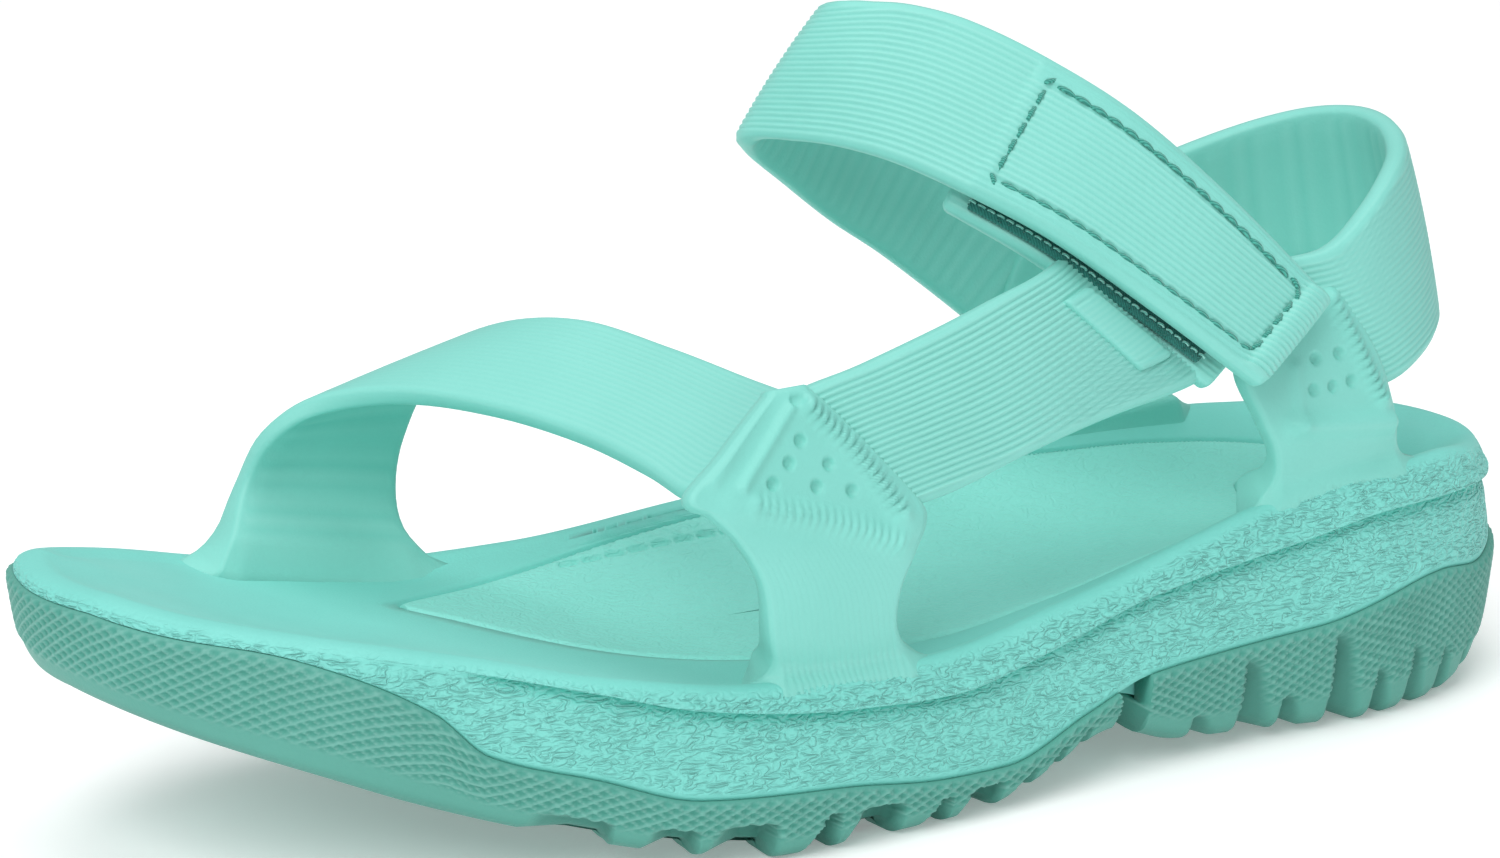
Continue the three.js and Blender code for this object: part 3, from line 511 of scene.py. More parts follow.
def moulded_foam(name, light, deep, roughness=0.52, pore=0.35, wrinkle=0.0, crest_highlight=0.0,
                 shaded=0.0):
    """Closed-cell foam straight from the mould: cloudy tint, fine skin, wrinkles where asked, and where asked
    painted highlight on rib crests and painted shade in recesses.
    """
    material, graph, place = finish_graph(name)
    cloud = noise(graph, place, 0.05, 3.0)
    speck = noise(graph, place, 1.7, 2.0)
    tint = blended(graph, (cloud * 0.75 + speck * 0.25 - 0.18) * 1.3, light, deep)
    if crest_highlight:
        # painted highlight: the crest note lightens the rib and knurl tops
        crest = graph.add("ShaderNodeAttribute", {"attribute_name": "crest"})["Fac"]
        tint = blended(graph, crest * crest_highlight, tint, CREST_HIGHLIGHT_COLOUR)
    if shaded:
        # painted shade: the recess note darkens notches and low wall rows
        recess = graph.add("ShaderNodeAttribute", {"attribute_name": "recess"})["Fac"]
        tint = blended(graph, recess * shaded, tint, DEEP_SHADE)
    skin = noise(graph, place, 2.6, 3.0, Roughness=0.6)
    pores = graph.add("ShaderNodeTexVoronoi", {"feature": "SMOOTH_F1"},
                      {"Vector": place, "Scale": 1.9})["Distance"]
    height = (skin * 0.55 + pores * 0.45) * pore
    if wrinkle:
        drawn = graph.add("ShaderNodeVectorMath", {"operation": "MULTIPLY"}, {0: place, 1: GRAIN_LAYOUT})
        wander = noise(graph, drawn["Vector"], 1.0, 0.0, Distortion=GRAIN_WANDER)
        gain = graph.add("ShaderNodeAttribute", {"attribute_name": "grain"})["Fac"]
        height = height + ((wander * GRAIN_FOLDS).math("COSINE") + 1.0) * gain * (0.5 * wrinkle)
    bump = bumped(graph, height, 1.0, FINE_BUMP)
    gloss = roughness + (skin - 0.5) * 0.16 + (cloud - 0.5) * 0.08
    close_finish(graph, tint, gloss, bump, **{
        "Specular IOR Level": 0.42, "Sheen Weight": 0.08, "Sheen Roughness": 0.4})
    return material


def sewing_thread(name, light, deep):
    """Twisted thread: plies that wind round it."""
    material, graph, place = finish_graph(name)
    wave = graph.add("ShaderNodeTexWave", {"wave_type": "BANDS", "bands_direction": "DIAGONAL"}, {
        "Vector": place, "Scale": 1.1, "Distortion": 1.5, "Detail": 1.0})["Fac"]
    tint = blended(graph, wave, deep, light)
    bump = bumped(graph, wave, 0.8, FINE_BUMP)
    close_finish(graph, tint, 0.7 - wave * 0.15, bump, **{"Sheen Weight": 0.3, "Specular IOR Level": 0.3})
    return material


def woven_tape(name, light, deep):
    """Woven backing of hook and loop tape, with its nap."""
    material, graph, place = finish_graph(name)
    weft = noise(graph, place, 2.2, 3.0)
    weave = graph.add("ShaderNodeTexWave", {"wave_type": "BANDS", "bands_direction": "X"}, {
        "Vector": place, "Scale": 0.8, "Distortion": 0.6, "Detail": 1.0})["Fac"]
    share = weft * 0.6 + weave * 0.4
    tint = blended(graph, share, deep, light)
    bump = bumped(graph, share, 0.9, WEAVE_BUMP)
    close_finish(graph, tint, 0.95 - weave * 0.12, bump, **{"Sheen Weight": 0.25, "Specular IOR Level": 0.2})
    return material


def plain_floor(name, colour):
    material, graph, place = finish_graph(name)
    speckle = noise(graph, place, 0.02, 2.0)
    close_finish(graph, blended(graph, speckle * 0.1, colour, srgb(246, 246, 246)), 0.9,
                 graph.add("ShaderNodeBump", {}, {"Height": speckle, "Strength": 0.02})["Normal"],
                 **{"Specular IOR Level": 0.1, "Emission Color": (1.0, 1.0, 1.0, 1.0),
                    "Emission Strength": 0.22})
    return material


STRAP_FOAM = moulded_foam("strap_foam_finish", srgb(134, 215, 204), srgb(124, 206, 194), crest_highlight=0.14)
MIDSOLE_FOAM = moulded_foam("midsole_foam_finish", srgb(130, 218, 208), srgb(118, 208, 197), 0.58, 0.5, 1.9)
# painted shade: the outsole is the same foam as the straps, and its darker colour stands for the shade under
# the sandal
OUTSOLE_FOAM = moulded_foam("outsole_foam_finish", srgb(76, 160, 145), srgb(66, 146, 131), 0.6, 0.5,
                            crest_highlight=0.2, shaded=0.55)
# painted light: the footbed is the same foam as the straps, and its lighter colour stands for the top light
# falling on it
FOOTBED_FOAM = moulded_foam("footbed_foam_finish", srgb(150, 232, 222), srgb(138, 222, 210), 0.66, 0.8, 0.5)
TAPE = woven_tape("fastener_tape_finish", srgb(58, 140, 130), srgb(24, 88, 82))
PALE_THREAD = sewing_thread("tape_thread_finish", srgb(150, 220, 208), srgb(96, 176, 164))
THREAD = sewing_thread("thread_finish", srgb(84, 186, 170), srgb(44, 132, 120))
PAPER = plain_floor("studio_floor", srgb(252, 252, 252))


# ---- meshes -------------------------------------------------------------------------------
def closed_mesh(name, points, faces, notes=None, cut=None):
    """A mesh object from points in mm: doubles merged, holes closed, faces outward, smooth."""
    mesh = bpy.data.meshes.new(name)
    place = (np.asarray(points, float).reshape(-1, 3) + CENTRING) * MM
    faces = np.asarray(faces, int).reshape(-1, 4)
    mesh.vertices.add(len(place))
    mesh.vertices.foreach_set("co", place.ravel())
    mesh.loops.add(faces.size)
    mesh.loops.foreach_set("vertex_index", faces.ravel())
    mesh.polygons.add(len(faces))
    mesh.polygons.foreach_set("loop_start", np.arange(0, faces.size, 4))
    mesh.update(calc_edges=True)
    for label, values in (notes or {}).items():
        mesh.attributes.new(label, "FLOAT", "POINT").data.foreach_set(
            "value", np.asarray(values, np.float32).ravel())
    body = bmesh.new()
    body.from_mesh(mesh)
    bmesh.ops.remove_doubles(body, verts=body.verts, dist=2e-6)
    if cut:
        place, direction = cut
        spot = Vector(((place + CENTRING[0]) * MM, 0, 0))
        bmesh.ops.bisect_plane(body, geom=body.verts[:] + body.edges[:] + body.faces[:], dist=1e-7,
                               plane_co=spot, plane_no=Vector((direction, 0, 0)), clear_outer=True)
    bmesh.ops.holes_fill(body, edges=[e for e in body.edges if e.is_boundary], sides=0)
    bmesh.ops.recalc_face_normals(body, faces=body.faces)
    body.to_mesh(mesh)
    body.free()
    mesh.shade_smooth()
    piece = bpy.data.objects.new(name, mesh)
    bpy.context.scene.collection.objects.link(piece)
    return piece


def grid_faces(rows, columns, ring=True):
    """Quads of a grid of points; ring closes each row on itself."""
    span = columns if ring else columns - 1
    r, c = np.meshgrid(np.arange(rows - 1), np.arange(span), indexing="ij")
    n = (c + 1) % columns
    return np.stack([r * columns + c, r * columns + n, (r + 1) * columns + n, (r + 1) * columns + c],
                    axis=-1).reshape(-1, 4)


def marks(name, points, pairs=()):
    """Marker object for the trees that sink dimples and slots; it is removed afterwards."""
    mesh = bpy.data.meshes.new(name)
    mesh.from_pydata([tuple((np.array(p) + CENTRING) * MM) for p in points], list(pairs), [])
    holder = bpy.data.objects.new(name, mesh)
    bpy.context.scene.collection.objects.link(holder)
    return holder


def drop(*holders):
    for holder in holders:
        bpy.data.objects.remove(holder)


RIDGES = ridge_tree()
DIMPLES = sunk_tree("sunk_dimples", "POINTS")
SLOTS = sunk_tree("sunk_slots", "EDGES")
GRAIN = grain_tree()
STITCHES = stitch_tree()
NAP = nap_tree()


# ---- sole ---------------------------------------------------------------------------------
class Ring:
    """The sole outline sampled into points that face each other in pairs across the foot."""

    def __init__(self, count):
        half = count // 2
        k = np.arange(count)
        spans = len(OUTLINE)
        span = np.where(k <= half, LATERAL_SPANS * k / half,
                        spans - (spans - LATERAL_SPANS) * (count - k) / half)
        self.count = count
        self.edge, slope = spline(OUTLINE, (span / spans) % 1, closed=True)
        self.out = unit(np.stack([slope[:, 1], -slope[:, 0]], axis=1))
        step = np.linalg.norm(np.roll(self.edge, -1, axis=0) - self.edge, axis=1)
        self.length = step.sum()
        self.run = np.concatenate([[0], np.cumsum(step)[:-1]])
        self.lateral = k <= half
        middle = (self.edge + self.edge[(count - k) % count]) / 2
        x = np.clip(middle[:, 0], SPINE[0][0], SPINE[-1][0])
        self.spine = np.stack([x, along(SPINE, x)], axis=1)

    def plan(self, inset, part=1.0):
        start = self.edge - self.out * np.broadcast_to(inset, (self.count,))[:, None]
        return self.spine + (start - self.spine) * part

    def row(self, inset, height, part=1.0):
        plan = self.plan(inset, part)
        z = np.broadcast_to(height, (self.count,))[:, None]
        return np.concatenate([plan, z], axis=1)


def on_both(lateral, medial, plan):
    share = smooth((plan[:, 1] + 30) / 60)
    return mix(along(lateral, plan[:, 0]), along(medial, plan[:, 0]), share)


def web_height(plan):
    return np.minimum(along(GROUND, plan[:, 0]) + 6.0, on_both(PARTING_LATERAL, PARTING_MEDIAL, plan) - 1.2)


OUTSOLE_WALL = [(0, 6.2), (0.03, 4.7), (0.14, 2.7), (0.4, 1.25), (0.75, 0.35), (0.95, 0.0), (1, 0.45)]
# notches between the lugs: place along the sole, width, share of the wall, depth
FRONT_NOTCHES = [
    (-63, 15, 0.46, 3.6), (-48.5, 9, 0.56, 4.4), (-34.5, 12.5, 0.66, 5.4), (-22.5, 6, 0.7, 4.6),
    (-10, 10.5, 0.74, 5.4), (0, 5, 0.7, 4.6), (10.5, 8, 0.78, 4.8), (18, 4.5, 0.7, 4.0), (24.5, 4, 0.7, 3.4),
    (30, 3, 0.7, 2.6),
]
HEEL_NOTCHES = [
    (54, 6, 0.36, 2.6), (64, 8.5, 0.92, 3.2), (73.5, 5.5, 0.42, 2.8), (83.5, 8, 0.95, 3.6),
    (93.5, 5.5, 0.48, 3.0), (102.5, 5.5, 0.55, 2.8), (111, 5, 0.45, 2.6), (119, 5, 0.4, 2.4),
]


# the steep side of a notch
NOTCH_LIP = 0.6


def notch_depth(ring, share):
    """How deep the wall is cut at each ring point, for a share of the wall height, and how far open."""
    depth = np.zeros(ring.count)
    opened = np.zeros(ring.count)
    for side, towards_heel in ((ring.lateral, 1.0), (~ring.lateral, -1.0)):
        x = ring.edge[side, 0]
        run = ring.run[side]
        order = np.argsort(x)
        for table, heelward in ((FRONT_NOTCHES, True), (HEEL_NOTCHES, False)):
            for place, width, top, deep in table:
                start = np.interp(place, x[order], run[order])
                q = (run - start) * towards_heel * (1.0 if heelward else -1.0)
                near = np.abs(x - place) < 30
                up = smooth((top - share) / (0.3 * top))
                narrowing = 0.2 if heelward and width > 7 else 0.65
                wide = width * (1 - narrowing * np.clip(share / top, 0, 1))
                full = 1.6 if heelward else 1.0
                ramp = np.where(q <= 0, np.clip(full + full * q / wide, 0, 1),
                                np.clip(1 - q / NOTCH_LIP, 0, 1))
                cut = np.where(near, ramp, 0) * up
                depth[side] = np.maximum(depth[side], cut * deep)
                opened[side] = np.maximum(opened[side], np.clip(cut * 3, 0, 1))
    return depth, opened


def outsole_grid(count=1400, levels=58):
    ring = Ring(count)
    ground = along(GROUND, ring.edge[:, 0])
    parting = on_both(PARTING_LATERAL, PARTING_MEDIAL, ring.edge)
    low_lift = notch_depth(ring, 0.0)[0] * np.where(ring.edge[:, 0] < 40, 0.34, 0.66)
    pitch_x = ring.length / round(ring.length / 3.0)
    rows, line_a, line_b, gain, recess = [], [], [], [], []

    def keep(row, strength=0.0, deep=0.6):
        rows.append(row)
        recess.append(np.broadcast_to(deep, (count,)))
        drop_down = row[:, 2] - parting
        line_a.append(ring.run / pitch_x + drop_down / 1.75)
        line_b.append(ring.run / pitch_x - drop_down / 1.75)
        gain.append(np.broadcast_to(strength, (count,)))

    for part in (0, 0.2, 0.4, 0.55, 0.7, 0.82, 0.92, 1.0):
        plan = ring.plan(12, part)
        groove = smooth((part - 0.55) / 0.4) * low_lift
        keep(ring.row(12, along(GROUND, plan[:, 0]) + groove, part))
    keep(ring.row(9, mix(along(GROUND, ring.plan(9)[:, 0]), ground, 0.7) + low_lift))
    for share in np.linspace(0, 1, levels):
        depth, opened = notch_depth(ring, share)
        inset = along(OUTSOLE_WALL, share) + depth
        scallop = low_lift * (1 - smooth(share / 0.3))
        z = mix(ground, parting - 0.1, share) + scallop
        wall = parting - ground
        fade = smooth((share * wall - 0.22 * wall - 0.8) / 2.0) * smooth((1 - share) * wall / 0.8)
        # painted shade: the recess note is high towards the ground and in the notches, 0.6 on the rows below
        # the wall
        low = 0.6 * (1 - smooth((share * wall - 0.5) / 3.0)) * smooth((wall - 3) / 4)
        keep(ring.row(inset, z), fade * (1 - opened) * smooth((wall - 3) / 4), np.maximum(low, opened))
    keep(ring.row(5.7, parting - 0.1))
    keep(ring.row(5.85, web_height(ring.edge)))
    for part in (0.5, 0.0):
        keep(ring.row(12, web_height(ring.plan(12, part)), part))
    # painted highlight note: high on the knurl ridges, 0.35 elsewhere
    waves = np.maximum(np.cos(np.pi * np.array(line_a)) ** 8, np.cos(np.pi * np.array(line_b)) ** 8)
    crest = mix(0.35, waves, np.array(gain))
    return np.array(rows), {
        "line_a": line_a, "line_b": line_b, "line_gain": gain, "crest": crest, "recess": recess}


def outsole(name, grid, notes, cut):
    piece = closed_mesh(name, grid, grid_faces(len(grid), grid.shape[1]), notes, cut)
    return worked(piece, (RIDGES, {"Height": 0.5, "Sharpness": 2.4, "Material": OUTSOLE_FOAM}))


def dish_surface():
    """The footbed side of the midsole as a tree for finding its height and nearest point."""
    ring = Ring(260)
    rim = on_both(RIM_LATERAL, RIM_MEDIAL, ring.edge) - 1.0
    rows = []
    for part in np.linspace(0, 1, 44):
        plan = ring.plan(8, part)
        rows.append(ring.row(8, mix(along(FOOTBED, plan[:, 0]), rim, part ** 2.2), part))
    rows = np.array(rows)
    faces = grid_faces(len(rows), ring.count)
    return BVHTree.FromPolygons([Vector(p) for p in rows.reshape(-1, 3)], faces.tolist())


DISH = dish_surface()


def dish_height(x, y):
    """Height of the footbed surface at plan points."""
    down = Vector((0, 0, -1))
    # a ray on the very middle line would slip between the two halves
    off = y - along(SPINE, np.clip(x, SPINE[0][0], SPINE[-1][0]))
    y = np.where(np.abs(off) < 0.06, y + 0.12, y)
    heights = np.empty(np.shape(x))
    flat_x, flat_y, flat = np.ravel(x), np.ravel(y), heights.ravel()
    for i in range(flat.size):
        spot = Vector((flat_x[i], flat_y[i], 200.0))
        hit = DISH.ray_cast(spot, down)[0]
        if hit is None:
            hit = DISH.find_nearest(Vector((flat_x[i], flat_y[i], 35.0)))[0]
        flat[i] = hit.z
    return flat.reshape(np.shape(x))


def inlay_side(lateral):
    """Fine points of one side of the footbed line, front point to heel."""
    n = len(INLAY)
    u = np.linspace(0, INLAY_HEEL / n, 600) if lateral else np.linspace(1, INLAY_HEEL / n, 600)
    return spline(INLAY, u % 1 if lateral else np.where(u >= 1, 0.0, u), closed=True)[0]


def inlay_matched(ring, offset):
    """A point of the footbed line for each ring point, moved outward by offset."""
    middle = np.array([30.0, -1.0])
    matched = np.empty((ring.count, 2))
    share = (ring.edge[:, 0] - ring.edge[:, 0].min()) / np.ptp(ring.edge[:, 0])
    for side, lateral in ((ring.lateral, True), (~ring.lateral, False)):
        line = inlay_side(lateral)
        reach = np.concatenate([[0], np.cumsum(np.linalg.norm(np.diff(line, axis=0), axis=1))])
        order = np.argsort(ring.run[side])
        if not lateral:
            order = order[::-1]
        # even travel along the line, eased so that the toe and heel rings bunch at its ends
        travel = np.linspace(0, 1, side.sum())
        x_share = np.maximum.accumulate(share[side][order])
        want = 0.5 * travel + 0.5 * x_share
        want = (want - want[0]) / (want[-1] - want[0])
        spots = np.stack([np.interp(want * reach[-1], reach, line[:, i]) for i in (0, 1)], axis=1)
        rows = np.empty((side.sum(), 2))
        rows[order] = spots
        matched[side] = rows
    return matched + unit(matched - middle) * offset


SLOT_COUNT = 10
SLOT_PITCH = 4.2


def arch_fan(x, y):
    """Fine ribs that fan out from the row of slots on the medial side of the arch."""
    share = (x + 34) / 40
    low = mix(29.5, 23.5, share)
    high = mix(31.0, 38.5, share)
    inside = smooth((y - low) / 1.0) * smooth((high - y) / 1.0) * smooth((x + 32) / 2) * smooth((6 - x) / 2)
    return 0.28 * inside * np.cos(2 * np.pi * (x + 0.35 * (y - low)) / SLOT_PITCH)


def recess_rows(line, shares, depth):
    """Rows from a closed line in plan to the middle of the foot, a depth below the dish."""
    x = np.clip(line[:, 0], -60, 104)
    middle = np.stack([x, along(SPINE, x)], axis=1)
    made = []
    for share in shares:
        plan = mix(line, middle, share)
        made.append(np.concatenate([plan, dish_height(plan[:, 0], plan[:, 1])[:, None] - depth], axis=1))
    return made


def midsole():
    ring = Ring(960)
    rim = on_both(RIM_LATERAL, RIM_MEDIAL, ring.edge)
    ledge = on_both(LEDGE_LATERAL, LEDGE_MEDIAL, ring.edge)
    parting = on_both(PARTING_LATERAL, PARTING_MEDIAL, ring.edge)
    ledge = np.maximum(ledge, parting + 0.5)
    gate = smooth((ring.edge[:, 0] + 88) / 12)
    seat = web_height(ring.edge) + 0.6
    tier = ledge - parting
    top = rim - ledge
    profile = [
        (6.3, seat), (6.15, parting - 0.05), (0.95, parting - 0.05), (0.7, parting + 0.06 * tier),
        (0.85 + 0.3 * gate, parting + 0.4 * tier), (1.05 + 0.8 * gate, parting + 0.75 * tier),
        (1.2 + 1.9 * gate, parting + 0.93 * tier), (1.25 + 2.6 * gate, parting + 0.985 * tier),
        (1.3 - 0.2 * gate, ledge + 0.02 * top), (1.35 - 0.3 * gate, ledge + 0.13 * top),
        (1.75, ledge + 0.36 * top), (2.4, ledge + 0.62 * top), (3.0, ledge + 0.8 * top),
        (3.6, ledge + 0.91 * top), (4.3, ledge + 0.975 * top), (5.2, rim),
        (6.6, rim - 0.35), (8.0, rim - 1.0),
    ]
    steps = [1, 1, 1, 15, 15, 8, 2, 2, 4, 8, 8, 5, 3, 2, 2, 2, 1]
    rows = refine([ring.row(inset, z) for inset, z in profile], steps)
    boundary = inlay_matched(ring, 0.35)
    inner = ring.plan(8)
    dish = []
    for t in np.linspace(0, 1, 15)[1:]:
        plan = mix(inner, boundary, t)
        z = dish_height(plan[:, 0], plan[:, 1]) + 0.6 * arch_fan(plan[:, 0], plan[:, 1]) * (t < 0.9)
        dish.append(np.concatenate([plan, z[:, None]], axis=1))
    edge = dish[-1].copy()
    edge[:, 2] -= 0.25
    wall = np.concatenate([inlay_matched(ring, 0.1), dish[-1][:, 2:] - 1.6], axis=1)
    dish[-1] = edge
    floor_rows = recess_rows(wall[:, :2], (0.1, 0.35, 0.65, 1.0), 1.75)
    seat_rows = [ring.row(12, web_height(ring.plan(12, p)) + 0.6, p) for p in (0.0, 0.5)]
    grid = np.concatenate([seat_rows, rows, dish, [wall], floor_rows])
    height = grid[:, :, 2]
    grain = np.zeros(height.shape)
    body = np.cumsum([0] + steps)
    first, last, ledge_row = body[3], body[13], body[7] + 1
    for i in range(first, last + 1):
        r = len(seat_rows) + i
        grain[r] = (smooth((rim - height[r]) / 2.2) * smooth((i - first) / 2)
                    * smooth(abs(i - ledge_row) / 4))
    piece = closed_mesh("midsole_shell", grid, grid_faces(len(grid), ring.count), {"grain": grain})
    return worked(piece, (GRAIN, {"Depth": 0.14, "Pitch": 1.0, "Material": MIDSOLE_FOAM}))


def footbed():
    columns, rows = 430, 128
    sides = [inlay_side(True), inlay_side(False)]
    low_x, high_x = sides[0][0, 0] + 0.4, 112.6
    spread = (1 - np.cos(np.linspace(0, np.pi, columns))) / 2
    x = mix(low_x, high_x, 0.25 * spread + 0.75 * np.linspace(0, 1, columns))
    edges = []
    for side in sides:
        order = np.argsort(side[:, 0])
        edges.append(np.interp(x, side[order, 0], side[order, 1]))
    v = np.linspace(0, 1, rows)[:, None]
    across = mix(edges[0][None], edges[1][None], v)
    plan_x = np.broadcast_to(x, across.shape)
    # distance to the footbed line, for its rolled edge
    line = np.concatenate([sides[0][::2], sides[1][::2]])
    reach = np.full(across.shape, np.inf)
    for spot in line:
        reach = np.minimum(reach, np.hypot(plan_x - spot[0], across - spot[1]))
    roll = np.clip(1 - reach / 1.6, 0, 1)
    z = dish_height(plan_x, across) + 0.05 - 0.8 * roll ** 2 + arch_fan(plan_x, across) * (1 - roll)
    grid = np.stack([plan_x, across, z], axis=2)
    loop = np.concatenate([grid[0], grid[1:, -1], grid[-1, -2::-1], grid[-2:0:-1, 0]])
    low = loop - np.array([0, 0, 0.6])
    sides_down = np.array([loop, low] + recess_rows(low[:, :2], (0.02, 0.3, 0.65, 1.0), 1.45))
    points = np.concatenate([grid.reshape(-1, 3), sides_down.reshape(-1, 3)])
    faces = np.concatenate([grid_faces(rows, columns, ring=False),
                            grid_faces(len(sides_down), len(loop)) + grid.shape[0] * grid.shape[1]])
    piece = closed_mesh("footbed_inlay", points, faces, {"grain": np.ones(len(points))})
    spots, pairs = [], []
    for i in range(SLOT_COUNT):
        x0 = -33.0 + SLOT_PITCH * i
        y0 = mix(28.3, 22.6, (x0 + 33) / 37)
        for dx in (-1.05, 1.05):
            z0 = float(dish_height(np.array([x0]), np.array([y0]))[0]) + 0.15
            spots.append((x0 + dx, y0 - dx * 0.15, z0))
        pairs.append((2 * i, 2 * i + 1))
    holder = marks("slot_marks", spots, pairs)
    worked(piece, (SLOTS, {"Marks": holder, "Radius": 0.95, "Depth": 0.9, "Floor": 0.45,
                           "Material": FOOTBED_FOAM}))
    drop(holder)
    return piece


# ---- straps -------------------------------------------------------------------------------
class Strap:
    """Frames along a strap: middle, unit across, unit outward, half width, distance run."""

    def __init__(self, stations, t):
        table = np.asarray(stations, float)
        self.t = np.asarray(t, float)
        a, b = table[:, :3], table[:, 3:]

        def lines(u):
            u = np.clip(u, 0, 1)
            return spline(a, u)[0], spline(b, u)[0]
        first, second = lines(self.t)
        self.middle = (first + second) / 2
        self.half = np.linalg.norm(second - first, axis=1) / 2
        self.across = unit(second - first)
        self.along = self.travel(lines, self.t)
        sign = self.facing(lines)
        self.normal = unit(np.cross(self.across, self.along)) * sign
        self.run = np.concatenate([[0], np.cumsum(np.linalg.norm(np.diff(self.middle, axis=0), axis=1))])

    @staticmethod
    def travel(lines, t):
        after, before = lines(t + 0.004), lines(t - 0.004)
        return unit(sum(after) - sum(before))

    @staticmethod
    def facing(lines):
        t = np.array([0.5])
        a, b = lines(t)
        normal = np.cross(b - a, Strap.travel(lines, t))[0]
        middle = ((a + b) / 2)[0]
        return -1.0 if normal @ (middle - np.array([middle[0], 0, 35])) < 0 else 1.0


def signed_distance(surface, point):
    """Distance to a surface, less than 0 inside it, and the outward direction there."""
    spot, normal, _, distance = surface.find_nearest(Vector(point))
    sign = 1.0 if (Vector(point) - spot).dot(normal) >= 0 else -1.0
    return sign * distance, np.array(normal)


RIB_PITCH = 1.15
CROSS_RIB_PITCH = 3.4
EDGE_LINE_PITCH = 0.9
EDGE_LINE_GAIN = 0.45
EDGE_RADIUS = 1.35
# a foot: how high up it can start, how deep inside the sole it is still drawn out, how far its last
# stretch sinks and over what length
FOOT_TOP, FOOT_REACH, FOOT_SINK, FOOT_FADE = 75, 12, 1.2, 4.0
ARC = np.radians(np.linspace(90, 0, 6))


